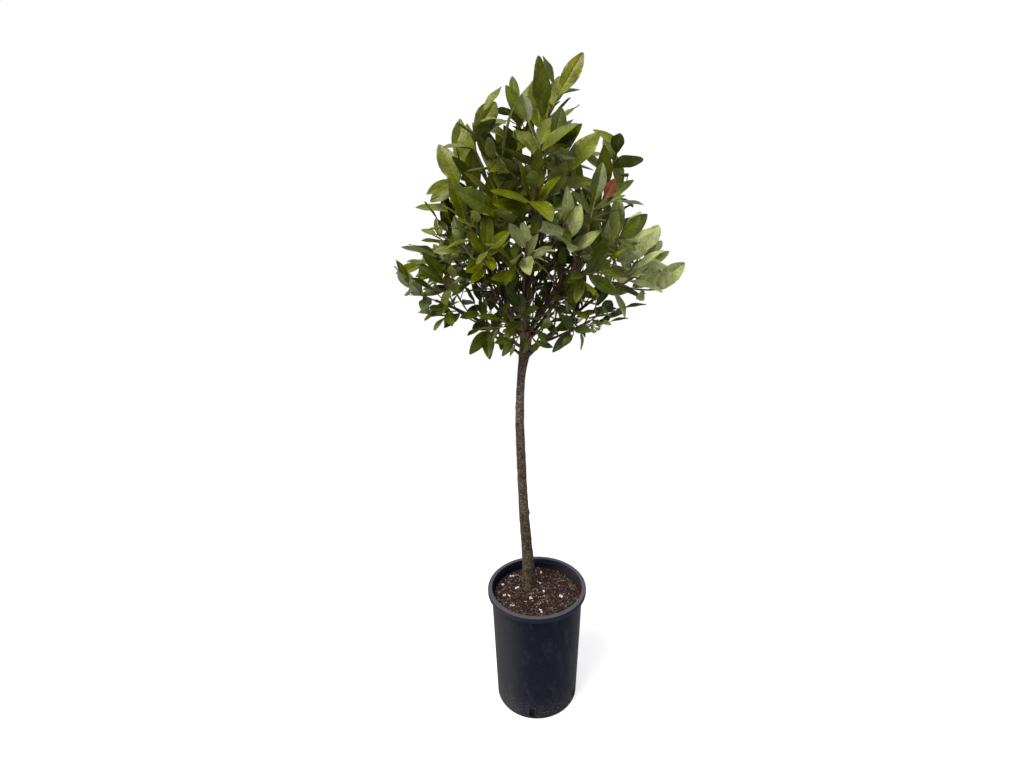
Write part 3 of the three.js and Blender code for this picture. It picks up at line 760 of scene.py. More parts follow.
def leaf_template():
    """One leaf's vertices, as station, column and layer, and its faces with their materials. Columns run
    from the left margin to the right one, and the top and the underside share the margins."""
    rows, is_vein = leaf_rows()
    margin, tip = len(BLADE_COLUMNS), len(rows) - 1
    columns = range(-margin, margin + 1)
    spots = [(0, 0, 0), (1, 0, 0)]
    number = {}
    for layer in (1, -1):
        for column in columns:
            number[0, column, layer], number[tip, column, layer] = 0, 1
        for row in range(1, tip):
            for column in columns:
                at_margin = abs(column) == margin
                if layer < 0 and at_margin:
                    number[row, column, layer] = number[row, column, 1]
                    continue
                number[row, column, layer] = len(spots)
                spots.append((rows[row], column, 0 if at_margin else layer))
    faces, finishes = [], []
    for layer in (1, -1):
        for row in range(tip):
            for column in columns[:-1]:
                corners = [(row, column), (row, column + 1), (row + 1, column + 1), (row + 1, column)]
                face = tuple(dict.fromkeys(number[r, c, layer] for r, c in corners))
                out = BLADE_COLUMNS[max(abs(column), abs(column + 1)) - 1]
                is_rib = column in (-1, 0) or (is_vein[row] and out <= VEIN_REACH)
                faces.append(face if layer < 0 else face[::-1])
                finishes.append(RIBS if is_rib else UPPER if layer > 0 else UNDER)
    return np.array(spots, float), faces, finishes


def leaf_places(blades, spots):
    """Every leaf's vertices in millimetres: the shared template laid along each blade."""
    blade = blades[:, None]
    station, column, layer = spots.T[:, None]
    draws = np.array([[dice(*b[ROOT], k) for k in range(4)] for b in blades])
    skew_draw, fold_draw, wave_draw, phase_draw = draws.T[:, :, None]
    margin = len(BLADE_COLUMNS)
    out = np.where(column == 0, 0, np.interp(np.abs(column), range(1, margin + 1), BLADE_COLUMNS))
    t = station + out * VEIN_SWEEP * 4 * station * (1 - station)
    outline = np.sin(np.pi * t.clip(0, 1) ** between(*OUTLINE_SKEW, skew_draw)).clip(0, 1) ** OUTLINE_POWER
    width = blade[..., WIDTH] * WIDTH_OF_OUTLINE / 2 * outline
    rib = np.minimum(MIDRIB_HALF * (1 - MIDRIB_TAPER * t), width * MIDRIB_MOST)
    across = np.sign(column) * (rib + (width - rib) * out)
    share = STALK_SHARE + (1 - STALK_SHARE) * t
    wave = between(*WAVE, wave_draw) * blade[..., WIDTH]
    phase = phase_draw * 2 * np.pi + WAVE_SHIFT * np.sign(column)
    lift = between(*FOLD, fold_draw) * (np.abs(across) - FOLD_LEVEL * width)
    lift += wave * out**2 * np.sin(WAVES * 2 * np.pi * t + phase)
    lift += (skew_draw - 0.5) * 2 * ROLL * across * t
    groove = np.where(layer > 0, MIDRIB_GROOVE, MIDRIB_KEEL) * outline
    thick = BLADE_THICK / 2 * layer - np.where((column == 0) & (layer != 0), groove, 0)
    lift = (lift + thick - sink(blade, share))[..., None]
    place = blade[..., ROOT] + blade[..., HEADING] * (blade[..., LENGTH] * share)[..., None]
    return place + blade[..., SIDE] * across[..., None] + blade[..., NORMAL] * lift


def leaves_piece(name, blades, tone):
    """All the leaves of one tone, joined."""
    spots, faces, finishes = leaf_template()
    places = leaf_places(np.array(blades), spots).reshape(-1, 3)
    every = [tuple(c + k * len(spots) for c in face) for k in range(len(blades)) for face in faces]
    return piece_from(name, places, every, leaf_materials(tone), "foliage", finishes * len(blades))


def stalks_piece(blades):
    """The stalks that carry the leaves, from inside the shoot into the midrib."""
    heap = Heap()
    turn = angles_round(STALK_SIDES)
    last = (len(STALK_RADII) - 1) * STALK_SIDES
    faces = ring_faces(len(STALK_RADII), STALK_SIDES)
    faces += [tuple(range(STALK_SIDES))[::-1], tuple(range(last, last + STALK_SIDES))]
    for blade in blades:
        size = min(1, blade[LENGTH] / STALK_FULL_LEAF)
        rings = []
        for k, radius in enumerate(STALK_RADII):
            middle = midrib_at(blade, k * STALK_SHARE * STALK_STEP)
            rings.append(middle + spokes(turn, blade[SIDE], blade[NORMAL]) * radius * size)
        heap.add(np.concatenate(rings), faces)
    return heap.piece("leaf_stalks", [stalk_material()], "foliage")


def swept(points, radii, sides):
    """A tube along points: its rings of vertices, turned as little as can be from each to the next."""
    tangents = unit(np.gradient(points, axis=0))
    normal = unit(np.cross(tangents[0], RIGHT if abs(tangents[0][0]) < NEARLY_UPRIGHT else UP))
    turn = angles_round(sides)
    rings = []
    for point, tangent, radius in zip(points, tangents, radii):
        normal = unit(normal - tangent * dot(normal, tangent))
        around = spokes(turn, normal, np.cross(tangent, normal))
        rings.append(point + around * np.reshape(radius, (-1, 1)))
    return rings


def add_tube(heap, points, radii, sides):
    """A tube with a flat foot and a pointed tip."""
    rings = swept(points, radii, sides)
    tip = points[-1] + unit(points[-1] - points[-2]) * np.mean(radii[-1])
    faces = ring_faces(len(rings), sides) + [tuple(range(sides))[::-1]]
    faces += fan_faces((len(rings) - 1) * sides, sides, len(rings) * sides)
    heap.add(np.concatenate(rings + [tip[None]]), faces)


def last_share(line, places, least):
    """How far along a line the last of those places is that lie on it."""
    shares = np.linspace(0, 1, LENGTH_STEPS + 1)
    gaps = np.linalg.norm(line.at(shares)[:, None] - places, axis=2)
    return shares[gaps.argmin(0)[gaps.min(0) < ON_TWIG]].max(initial=least)


def add_twig(heap, line, radii, rings, end=1, bud=True):
    """A twig, a little swollen here and there, with a bud on its end."""
    shares = np.linspace(0, end, rings)
    swell = 1 + TWIG_SWELL * np.sin(shares * rings * TWIG_SWELLINGS)
    points, radius = line.at(shares), along(radii, shares) * swell
    if bud:
        points = np.vstack([points, points[-1] + BUD_SHAPE[:, :1] * BUD_LENGTH * line.heading(end)])
        radius = np.concatenate([radius, BUD_SHAPE[:, 1] * BUD_RADIUS * radii[-1] / SHOOT_RADII[-1]])
    add_tube(heap, points, radius, TWIG_SIDES)


def twig_pieces(crown, stems):
    """Each twig ends just past its last leaf or fork."""
    heaps = {"young_shoots": Heap(), "brown_twigs": Heap()}
    for stem in stems:
        add_twig(heaps["brown_twigs"], stem, STEM_RADII, STEM_RINGS, bud=False)
    forks = [spray["line"].at(0) for spray in crown.sprays if spray["kind"] == "side_shoot"]
    for spray in crown.sprays:
        twig, line = TWIGS[spray["kind"]], spray["line"]
        places = np.array([blade[ROOT] for blade in spray["blades"]] + forks)
        end = min(last_share(line, places, twig["least"]) + PAST_LAST_LEAF, 1)
        add_twig(heaps[twig["piece"]], line, spray["radii"], twig["rings"], end)
    heaps["young_shoots"].piece("young_shoots", [shoot_material()], "foliage")
    return heaps["brown_twigs"].piece("brown_twigs", [twig_material()], "foliage")


def tone_of(spray):
    tones = spray["tones"].split()
    return tones[int(dice(*spray["keys"], TONE_KEY) * len(tones))]


def foliage_pieces(crown, stems):
    """Leaves joined by tone, their stalks and their twigs, which stand for the masses of the solids."""
    tones = [tone_of(spray) for spray in crown.sprays]
    for (x, z), kind, tone in ODD_SPRAYS:
        some = [k for k, spray in enumerate(crown.sprays) if spray["blades"] and spray["kind"] == kind]
        tips = np.array([crown.sprays[k]["line"].at(1) for k in some])
        gap = np.hypot(tips[:, 0] - x, tips[:, 2] - z) + np.maximum(tips[:, 1], 0)
        tones[some[int(gap.argmin())]] = tone
    by_tone = {}
    for spray, tone in zip(crown.sprays, tones):
        by_tone.setdefault(tone, []).extend(spray["blades"])
    for tone, blades in by_tone.items():
        for part, start in enumerate(range(0, len(blades), LEAVES_A_PIECE)):
            leaves_piece(f"leaves_{tone}_{part + 1}", blades[start : start + LEAVES_A_PIECE], tone)
    stalks_piece([blade for spray in crown.sprays for blade in spray["blades"]])
    twigs = twig_pieces(crown, stems)
    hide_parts(*("foliage_" + name for name in MASSES))


def vertex_values(mesh, name):
    values = np.empty(len(mesh.vertices) * 3)
    mesh.vertices.foreach_get(name, values)
    return values.reshape(-1, 3)


def remeshed(heap, grain, smoothing):
    """One skin round all of a heap's shapes: its places and normals, in millimetres, and its faces."""
    piece = heap.piece("rough_limbs", [], "bark")
    remesh = piece.modifiers.new("skin", "REMESH")
    remesh.mode = "VOXEL"
    remesh.voxel_size = grain * MM
    smooth = piece.modifiers.new("smooth", "SMOOTH")
    smooth.iterations = smoothing
    mesh = bpy.data.meshes.new_from_object(piece.evaluated_get(bpy.context.evaluated_depsgraph_get()))
    places, normals = vertex_values(mesh, "co"), vertex_values(mesh, "normal")
    faces = [tuple(p.vertices) for p in mesh.polygons]
    bpy.data.objects.remove(piece)
    bpy.data.meshes.remove(mesh)
    return places / MM, normals, faces


def streaks(p, across, lengthwise, shift=0):
    """Noise that has one scale across a limb and one along it."""
    return noise.noise(Vector((p.x * across + shift, p.y * across, p.z * lengthwise)))


def bark_relief(p):
    """How far the bark stands out at a place: slow swellings, lengthwise furrows and cross marks."""
    mark = streaks(p, *MARK_SCALES, MARK_SHIFT)
    knot = (p - Vector(KNOT_AT)).length / KNOT_WIDTH
    return (
        BARK_SWELL * noise.noise(p * SWELL_SCALE)
        + BARK_FURROW * streaks(p, *FURROW_SCALES)
        + BARK_MARK * min(max(mark - MARK_FROM, 0) * MARK_EDGE, 1)
        + KNOT_HEIGHT * math.exp(-knot * knot)
    )


def bark_piece(trunk, boughs):
    """The trunk and its boughs as one limb, with the flare at its foot."""
    heap = Heap()
    shares = np.linspace(0, 1, TRUNK_RINGS)
    points = trunk.at(shares)
    up = np.maximum(points[:, 2] - SOIL_LEVEL, 0)[:, None]
    turn = FLARE_LOBES * angles_round(TRUNK_SIDES) + up / FLARE_TWIST
    lobes = 1 + FLARE_DEPTH * np.exp(-up / FLARE_HEIGHT) * (1 + np.cos(turn)) / 2
    add_tube(heap, points, along(TRUNK_RADII, shares)[:, None] * lobes, TRUNK_SIDES)
    shares = np.linspace(0, 1, BOUGH_RINGS)
    for name, bough in boughs.items():
        add_tube(heap, bough.at(shares), along(BOUGHS[name][-1], shares), BOUGH_SIDES)
    places, normals, faces = remeshed(heap, BARK_GRAIN, BARK_SMOOTHING)
    relief = np.array([bark_relief(Vector(p)) for p in places])
    relief *= np.interp(places[:, 2], RELIEF_HEIGHTS, RELIEF_SHARES)
    places += normals * relief[:, None]
    bark = piece_from("bark", places, faces, [bark_material()], "bark", sharp_deg=NO_SHARP_DEG)
    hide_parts("trunk", *("bough_" + name for name in BOUGHS))


def wall_radius(z):
    """The pot's outside radius at a height."""
    return between(BASE_RADIUS, MOUTH_RADIUS, z / POT_HEIGHT)


# The inside of the pot at the level of the potting mix.
SOIL_RADIUS = wall_radius(SOIL_LEVEL) - WALL


def arc(middle, radius, first_deg, last_deg, steps):
    turns = np.radians(np.linspace(first_deg, last_deg, steps))
    return [(middle[0] + radius * math.cos(a), middle[1] + radius * math.sin(a)) for a in turns]


def level_ring(radius, turn, z=0):
    """Vertices all round the pot's middle line, at one height."""
    return np.column_stack([radius * np.cos(turn), radius * np.sin(turn), np.full(len(turn), z)])


def pot_profile():
    """The pot's section from its underside round its foot, lip and inside to its floor, and its rows at the
    drain holes: outside below and above, then inside above and below."""
    top, body_top = POT_HEIGHT, POT_HEIGHT - 2 * WALL
    drain_head = DRAIN_SILL + DRAIN_HEIGHT
    skirt, skirt_half = RIM_RADIUS - LIP_SKIRT, LIP_SKIRT / 2
    mouth, mouth_round = wall_radius(top) - WALL, LIP_ROUND / 2
    outer = arc((BASE_RADIUS - FOOT_ROUND, FOOT_ROUND), FOOT_ROUND, -90, 0, steps=6)
    sill = len(outer)
    outer += [(wall_radius(z), z) for z in (DRAIN_SILL, *np.linspace(drain_head, body_top, BODY_ROWS))]
    outer += [(skirt + out, body_top + up) for out, up in LIP_TUCK]
    outer += arc((RIM_RADIUS - skirt_half, top - LIP_DEPTH + skirt_half), skirt_half, 180, 360, steps=6)
    outer += arc((RIM_RADIUS - LIP_ROUND, top - LIP_ROUND), LIP_ROUND, 0, 90, steps=8)
    outer += arc((mouth + mouth_round, top - mouth_round), mouth_round, 90, 180, steps=5)
    inner_head = len(outer) + BODY_ROWS - 1
    inside = (*np.linspace(top - 2 * LIP_ROUND, drain_head, BODY_ROWS), DRAIN_SILL)
    inner = [(wall_radius(z) - WALL, z) for z in inside] + [(wall_radius(0) - 2 * WALL, WALL)]
    return outer + inner, (sill, sill + 1, inner_head, inner_head + 1)


def pot_piece():
    """The pot, turned, with its drain holes left open through the wall."""
    profile, drain_rows = pot_profile()
    turn = np.radians(FIRST_DRAIN_DEG) + (np.arange(POT_SIDES) - DRAIN_SIDES / 2) * 2 * np.pi / POT_SIDES
    rings = [level_ring(radius, turn, z) for radius, z in profile]
    under = len(rings) * POT_SIDES
    sill, head, inner_head, inner_sill = jamb = [row * POT_SIDES for row in drain_rows]
    drains = range(0, POT_SIDES, POT_SIDES // DRAIN_HOLES)
    columns = [drain + k for drain in drains for k in range(DRAIN_SIDES)]
    is_open = {row + k for row in (sill, inner_head) for k in columns}
    faces = [face for face in ring_faces(len(rings), POT_SIDES) if face[0] not in is_open]
    faces += [face[::-1] for face in fan_faces(0, POT_SIDES, under)]
    faces += fan_faces(under - POT_SIDES, POT_SIDES, under + 1)
    for k in columns:
        faces.append((sill + k, sill + k + 1, inner_sill + k + 1, inner_sill + k))
        faces.append((head + k + 1, head + k, inner_head + k, inner_head + k + 1))
    for drain in drains:
        faces.append(tuple(corner + drain for corner in jamb))
        faces.append(tuple(corner + drain + DRAIN_SIDES for corner in jamb[::-1]))
    places = np.concatenate(rings + [[(0, 0, 0), (0, 0, WALL)]])
    pot = piece_from("nursery_pot", places, faces, [pot_material()], "pot", sharp_deg=POT_SHARP_DEG)
    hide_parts("pot")


def soil_height(x, y):
    """The potting mix's level at a place."""
    waves = (height * noise.noise(Vector((x, y, layer)) * scale) for height, scale, layer in SOIL_RELIEF)
    return SOIL_LEVEL + sum(waves)


def potting_mix_piece():
    """The potting mix, with its relief on top and a side that follows the pot's."""
    turn = angles_round(POT_SIDES)
    floor = WALL + SOIL_SEAT
    shares = np.linspace(1, 0, SOIL_RINGS, endpoint=False) ** SOIL_RING_POWER
    top = [level_ring((SOIL_RADIUS - SOIL_CLEAR) * share, turn) for share in shares]
    for ring in top:
        ring[:, 2] = [soil_height(x, y) for x, y, _ in ring]
    rings = [level_ring(wall_radius(WALL) - WALL - SOIL_CLEAR, turn, floor)] + top
    middle = len(rings) * POT_SIDES
    faces = ring_faces(len(rings), POT_SIDES) + fan_faces(middle - POT_SIDES, POT_SIDES, middle)
    faces += [face[::-1] for face in fan_faces(0, POT_SIDES, middle + 1)]
    places = np.concatenate(rings + [[(0, 0, soil_height(0, 0)), (0, 0, floor)]])
    mix = piece_from("potting_mix_body", places, faces, [soil_material()], "potting_mix")
    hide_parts("potting_mix")


def grain_shape():
    """A small ball of twenty faces, for chips and grit."""
    golden = (1 + 5**0.5) / 2
    four = np.array([(-1, golden, 0), (1, golden, 0), (-1, -golden, 0), (1, -golden, 0)])
    corners = np.concatenate([np.roll(four, shift, axis=1) for shift in range(3)])
    faces = [(0, 11, 5), (0, 5, 1), (0, 1, 7), (0, 7, 10), (0, 10, 11), (1, 5, 9), (5, 11, 4), (11, 10, 2)]
    faces += [(10, 7, 6), (7, 1, 8), (3, 9, 4), (3, 4, 2), (3, 2, 6), (3, 6, 8), (3, 8, 9), (4, 9, 5)]
    faces += [(2, 4, 11), (6, 2, 10), (8, 6, 7), (9, 8, 1)]
    return unit(corners), faces


def free_spot(chance, trunk_foot):
    """A place on the potting mix, clear of the wall and of the trunk."""
    while True:
        x, y = chance.uniform(-1, 1, 2) * SOIL_RADIUS
        from_trunk = math.hypot(x - trunk_foot[0], y - trunk_foot[1])
        if math.hypot(x, y) < SOIL_RADIUS - WALL_MARGIN and from_trunk > TRUNK_MARGIN:
            return x, y


def add_grain(heap, chance, spot, size, rise):
    """A rough grain: a round one is turned any way up, and a flat one lies flat."""
    ball, faces = grain_shape()
    rough = ball * chance.uniform(*GRAIN_ROUGH, (len(ball), 1))
    spun = np.array(Matrix.Rotation(chance.uniform(*GRAIN_TURN), 3, Vector(unit(chance.normal(size=3)))))
    level = np.array(Matrix.Rotation(chance.uniform(*GRAIN_TURN), 3, "Z"))
    places = (rough * size) @ (spun if np.ptp(size) < GRAIN_ROUND else level).T
    heap.add(places + np.array([*spot, soil_height(*spot) + rise]), faces)


def chip_pieces(chance, trunk_foot):
    """Bark chips in four browns."""
    for name, count in CHIPS.items():
        heap = Heap()
        for _ in range(count):
            long = chance.uniform(*CHIP_SIZE) * chance.uniform(*CHIP_VARY)
            width, thickness = long * chance.uniform(*CHIP_WIDE), long * chance.uniform(*CHIP_THICK)
            size = np.array([long, width, thickness]) / 2
            add_grain(heap, chance, free_spot(chance, trunk_foot), size, chance.uniform(*CHIP_RISE))
        heap.piece(name, [chip_material(name)], "potting_mix", sharp_deg=LITTER_SHARP_DEG)


def fibres_piece(chance, trunk_foot):
    """Fibres that lie on the potting mix, each bent its own way."""
    heap = Heap()
    for _ in range(FIBRES):
        x, y = free_spot(chance, trunk_foot)
        way = chance.uniform(*GRAIN_TURN)
        length = chance.uniform(*FIBRE_LENGTH)
        bend = chance.normal() * FIBRE_BEND
        points = []
        for share in np.linspace(-0.5, 0.5, len(FIBRE_RADII)):
            heading = way + bend * share
            px, py = x + math.cos(heading) * length * share, y + math.sin(heading) * length * share
            past = max(math.hypot(px, py) / (SOIL_RADIUS - FIBRE_MARGIN), 1)
            px, py = px / past, py / past
            lift = FIBRE_RISE + FIBRE_WAVE * math.sin(FIBRE_WAVES * share + bend)
            points.append((px, py, soil_height(px, py) + lift))
        add_tube(heap, np.array(points), FIBRE_RADII, FIBRE_SIDES)
    heap.piece("fibres", [fibre_material()], "potting_mix")


def grit_piece(chance, trunk_foot):
    """White grit, in clusters and loose."""
    heap = Heap()
    for x, y in GRIT_CLUSTERS:
        for _ in range(GRIT_BIG):
            spot = (x + chance.normal() * GRIT_SPREAD, y + chance.normal() * GRIT_SPREAD)
            size = chance.uniform(*GRIT_SIZE) * chance.uniform(*GRIT_SQUASH, 3)
            add_grain(heap, chance, spot, size, GRIT_RISE)
    for _ in range(LOOSE_GRIT):
        size = chance.uniform(*LOOSE_GRIT_SIZE) * chance.uniform(*GRIT_SQUASH, 3)
        add_grain(heap, chance, free_spot(chance, trunk_foot), size, LOOSE_GRIT_RISE)
    heap.piece("white_grit", [grit_material()], "potting_mix", sharp_deg=LITTER_SHARP_DEG)


def litter_pieces(trunk_foot):
    """What lies on the potting mix, all from one row of draws."""
    chance = np.random.default_rng(LITTER_SEED)
    chip_pieces(chance, trunk_foot)
    fibres_piece(chance, trunk_foot)
    grit_piece(chance, trunk_foot)


def srgb(*levels):
    """A colour from the usual levels of 0 to 255, as the shaders take it."""
    shares = (level / 255 for level in levels)
    return tuple(s / 12.92 if s <= 0.04045 else ((s + 0.055) / 1.055) ** 2.4 for s in shares) + (1,)


def shade(colour, share):
    """A colour made darker or lighter."""
    return tuple(min(part * share, 1) for part in colour[:3]) + (1,)


class Value:
    """A number that varies over a surface. Sums on it add Math nodes to its material."""

    def __init__(self, finish, socket):
        self.finish = finish
        self.socket = socket

    def math(self, operation, *values):
        return self.finish.node("Math", dict(operation=operation), dict(enumerate(values)))

    def __add__(self, other):
        return self.math("ADD", self, other)

    def __sub__(self, other):
        return self.math("SUBTRACT", self, other)

    def __rsub__(self, other):
        return self.math("SUBTRACT", other, self)

    def __mul__(self, other):
        return self.math("MULTIPLY", self, other)

    __radd__ = __add__
    __rmul__ = __mul__


class Nodes:
    """The nodes of a material or of the sky."""

    def __init__(self, tree):
        self.nodes = tree.nodes
        self.links = tree.links

    def put(self, socket, value):
        if isinstance(value, Value):
            self.links.new(value.socket, socket)
        else:
            socket.default_value = value

    def node(self, kind, settings=(), sockets=(), output=0):
        """A node, with its settings set first, and then its sockets, by name or number."""
        made = self.nodes.new("ShaderNode" + kind)
        for name, value in dict(settings).items():
            if name == "stops":
                set_stops(made.color_ramp, value)
            else:
                setattr(made, name, value)
        for name, value in dict(sockets).items():
            self.put(made.inputs[name], value)
        return Value(self, made.outputs[output])

    def ramp(self, value, *stops):
        return self.node("ValToRGB", dict(stops=stops), {0: value})

    def step(self, value, low, high):
        """0 under the low value, 1 over the high one."""
        settings = dict(interpolation_type="SMOOTHSTEP")
        return self.node("MapRange", settings, {"Value": value, "From Min": low, "From Max": high})

    def mix(self, share, first, second):
        return self.node("Mix", dict(data_type="RGBA"), {0: share, 6: first, 7: second}, output=2)


class Finish(Nodes):
    """A material: one surface shader, and the nodes that feed it."""

    def __init__(self, name, roughness, **constants):
        self.material = bpy.data.materials.new(name)
        self.material.use_nodes = True
        super().__init__(self.material.node_tree)
        self.shader = self.nodes["Principled BSDF"]
        self.shader.inputs["Roughness"].default_value = roughness
        for socket, value in constants.items():
            self.shader.inputs[socket.replace("_", " ")].default_value = value

    def feed(self, **sockets):
        for name, value in sockets.items():
            self.put(self.shader.inputs[name.replace("_", " ")], value)

    def place(self):
        """Where a point of the surface lies, in metres."""
        return self.node("TexCoord", output="Object")

    def noise(self, scale, detail=2, stretch=(1, 1, 1), rough=0.5):
        place = self.node("VectorMath", dict(operation="MULTIPLY"), {0: self.place(), 1: stretch})
        sockets = {"Vector": place, "Scale": scale, "Detail": detail, "Roughness": rough}
        return self.node("TexNoise", {}, sockets)

    def bump(self, height, distance, strength=1):
        sockets = {"Height": height, "Distance": distance, "Strength": strength}
        return self.node("Bump", {}, sockets, output="Normal")

    def part(self, axis):
        """One part of where a point of the surface lies, in metres."""
        return self.node("SeparateXYZ", {}, {0: self.place()}, output=axis)


def set_stops(ramp, stops):
    while len(ramp.elements) < len(stops):
        ramp.elements.new(1)
    for element, (place, colour) in zip(ramp.elements, stops):
        element.position = place
        element.color = colour


# Each tone's upper side, midrib and veins, and underside, and the roughness and shine of the three.
TONES = {
    "olive": ((90, 99, 0), (124, 128, 30), (136, 143, 76)),
    "deep": ((66, 78, 0), (98, 106, 24), (114, 123, 58)),
    "fresh": ((108, 116, 10), (148, 151, 58), (150, 157, 92)),
    # The pale tone is painted sheen: pale greyish leaves that stand in for the shine of glossy leaves.
    "pale": ((150, 160, 98), (200, 203, 146), (168, 175, 120)),
    # The dark tone is painted shade inside the crown, on leaves that are also older and darker green.
    "dark": ((42, 52, 0), (72, 80, 22), (82, 90, 40)),
    "blue": ((70, 86, 42), (106, 118, 70), (122, 134, 90)),
    "red": ((98, 42, 0), (122, 66, 18), (104, 54, 12)),
}
LEAF_PARTS = {"upper": (0.33, 0.25), "ribs": (0.43, 0.22), "under": (0.6, 0.1)}


def leaf_materials(tone):
    """The upper side, the ribs and the underside of one tone's leaves."""
    parts = zip(LEAF_PARTS.items(), TONES[tone])
    return [leaf_material(f"leaf_{tone}_{part}", srgb(*levels), *looks) for (part, looks), levels in parts]


def leaf_material(name, colour, roughness, shine):
    """A leathery leaf, lighter and darker in patches and finely pebbled. Made once for each name."""
    if name in bpy.data.materials:
        return bpy.data.materials[name]
    leaf = Finish(name, roughness, Specular_IOR_Level=shine)
    patches = leaf.noise(38, detail=3)
    pebbles = leaf.noise(900, detail=2) + 2 * leaf.noise(160, detail=2)
    leaf.feed(
        Base_Color=leaf.mix(leaf.step(patches, 0.3, 0.7), shade(colour, 0.72), shade(colour, 1.22)),
        Roughness=roughness + 0.14 * (patches - 0.5),
        Normal=leaf.bump(pebbles, 0.0004, 0.6),
    )
    return leaf.material


def stalk_material():
    stalk = Finish("leaf_stalk", 0.5, Specular_IOR_Level=0.35)
    stalk.feed(Base_Color=stalk.mix(stalk.noise(30), srgb(104, 92, 40), srgb(112, 66, 40)))
    return stalk.material


def shoot_material():
    """Young shoots: olive green that turns reddish brown in stretches."""
    shoot = Finish("young_shoot", 0.5, Specular_IOR_Level=0.35)
    reddish = shoot.step(shoot.noise(9, detail=3), 0.42, 0.6)
    shoot.feed(
        Base_Color=shoot.mix(reddish, srgb(122, 118, 62), srgb(110, 82, 52)),
        Normal=shoot.bump(shoot.noise(700, stretch=(1, 1, 0.3)), 0.0005, 0.5),
    )
    return shoot.material


def twig_material():
    """Brown twigs, reddish in places."""
    twig = Finish("brown_twig", 0.62, Specular_IOR_Level=0.3)
    reddish = twig.step(twig.noise(14, detail=3), 0.38, 0.62)
    twig.feed(
        Base_Color=twig.mix(reddish, srgb(62, 48, 35), srgb(102, 60, 42)),
        Normal=twig.bump(twig.noise(600, stretch=(1, 1, 0.4)), 0.0006, 0.6),
    )
    return twig.material


# The bark's colours from its foot up, at shares of their span of heights.
BARK_COLOUR_SPAN = (0.355, 1.25)
BARK_COLOURS = [
    (0, (76, 68, 50)), (0.12, (66, 58, 42)), (0.22, (56, 49, 35)),
    (0.33, (66, 56, 42)), (0.45, (68, 57, 47)), (0.59, (82, 67, 60)),
    (0.71, (100, 86, 78)), (0.79, (84, 68, 60)), (0.9, (82, 58, 46)),
]


def bark_material():
    """Smooth bark: olive brown at its foot, greyer above, brown on the boughs, with pale cross marks."""
    bark = Finish("bay_bark", 0.78, Specular_IOR_Level=0.25)
    height = bark.part("Z")
    share = (height - BARK_COLOUR_SPAN[0]) * (1 / np.ptp(BARK_COLOUR_SPAN))
    base = bark.ramp(share, *((place, srgb(*levels)) for place, levels in BARK_COLOURS))
    mottle = bark.noise(62, detail=5, stretch=(1, 1, 0.7), rough=0.7)
    rust = bark.step(bark.noise(34, detail=4), 0.48, 0.62) * (1 - bark.step(height, 0.7, 0.9))
    ringed = bark.step(height, 0.88, 0.94) * (1 - bark.step(height, 1.02, 1.07))
    marks = bark.step(bark.noise(80, detail=3, stretch=(1, 1, 3.2)), 0.52, 0.64)
    specks = bark.step(bark.noise(210, detail=1), 0.63, 0.7)
    cracks = bark.step(bark.noise(260, detail=3, stretch=(1, 1, 0.16)), 0.54, 0.7)
    rusty = bark.mix(0.36 * rust, base, srgb(106, 80, 52))
    shaded = bark.mix(0.7 * bark.step(mottle, 0.42, 0.64), rusty, srgb(34, 28, 22))
    marked = bark.mix(marks * (0.16 + 0.4 * ringed), shaded, srgb(164, 150, 140))
    speckled = bark.mix(0.5 * specks, marked, srgb(176, 168, 146))
    relief = 0.5 * mottle + 0.5 * marks - 0.7 * cracks
    bark.feed(
        Base_Color=bark.mix(0.5 * cracks, speckled, srgb(34, 28, 24)),
        Roughness=0.7 + 0.2 * mottle,
        Normal=bark.bump(relief, 0.0016, 0.8),
    )
    return bark.material


def pot_material():
    """Black moulded plastic, lighter and bluer on its lip, with a painted highlight on its rim, painted
    light on its left side, dust in its lower part, and fine scuffs.
    """
    pot = Finish("pot_plastic", 0.5, Specular_IOR_Level=0.03)
    height = pot.part("Z")
    facing = pot.node("SeparateXYZ", {}, {0: pot.node("TexCoord", output="Normal")}, output="X")
    cloudy = pot.noise(11, detail=4, rough=0.6)
    lip = pot.step(height, 0.3705, 0.3725)
    # The top of the lip is painted pale grey: a painted highlight, stronger on the left side.
    painted_rim_highlight = pot.step(height, 0.3858, 0.387)
    foot = 1 - pot.step(height, 0.008, 0.09)
    # The side that faces left is painted a dusty grey: painted light from the left, with some dust.
    left = 1 - pot.step(facing + 0.3 * (cloudy - 0.5), -0.95, -0.1)
    specks = pot.step(pot.noise(430, detail=2), 0.6, 0.7)
    crumbs = pot.step(pot.noise(190, detail=3), 0.58, 0.68)
    smudges = pot.step(pot.noise(34, detail=4, stretch=(1, 1, 0.45), rough=0.7), 0.5, 0.68)
    scuffed = pot.mix(0.35 * smudges, srgb(14, 17, 30), srgb(44, 48, 60))
    black = pot.mix(lip, scuffed, srgb(28, 30, 46))
    plastic = pot.mix(painted_rim_highlight * (0.7 + 0.3 * left), black, srgb(84, 82, 88))
    # Dust low down on the pot, and painted light on its left side.
    dust_and_painted_light = pot.mix(0.6 * left * (0.5 + cloudy) + 0.3 * foot * cloudy, plastic, srgb(60, 58, 58))
    pot.feed(
        Base_Color=pot.mix(0.4 * specks * (0.2 + foot) + 0.3 * crumbs * foot, dust_and_painted_light, srgb(130, 126, 122)),
        Roughness=0.5 + 0.2 * left + 0.1 * foot,
        Normal=pot.bump(0.35 * pot.noise(1300, detail=2) + 0.8 * pot.noise(26, detail=2), 0.0007, 0.5),
    )
    return pot.material


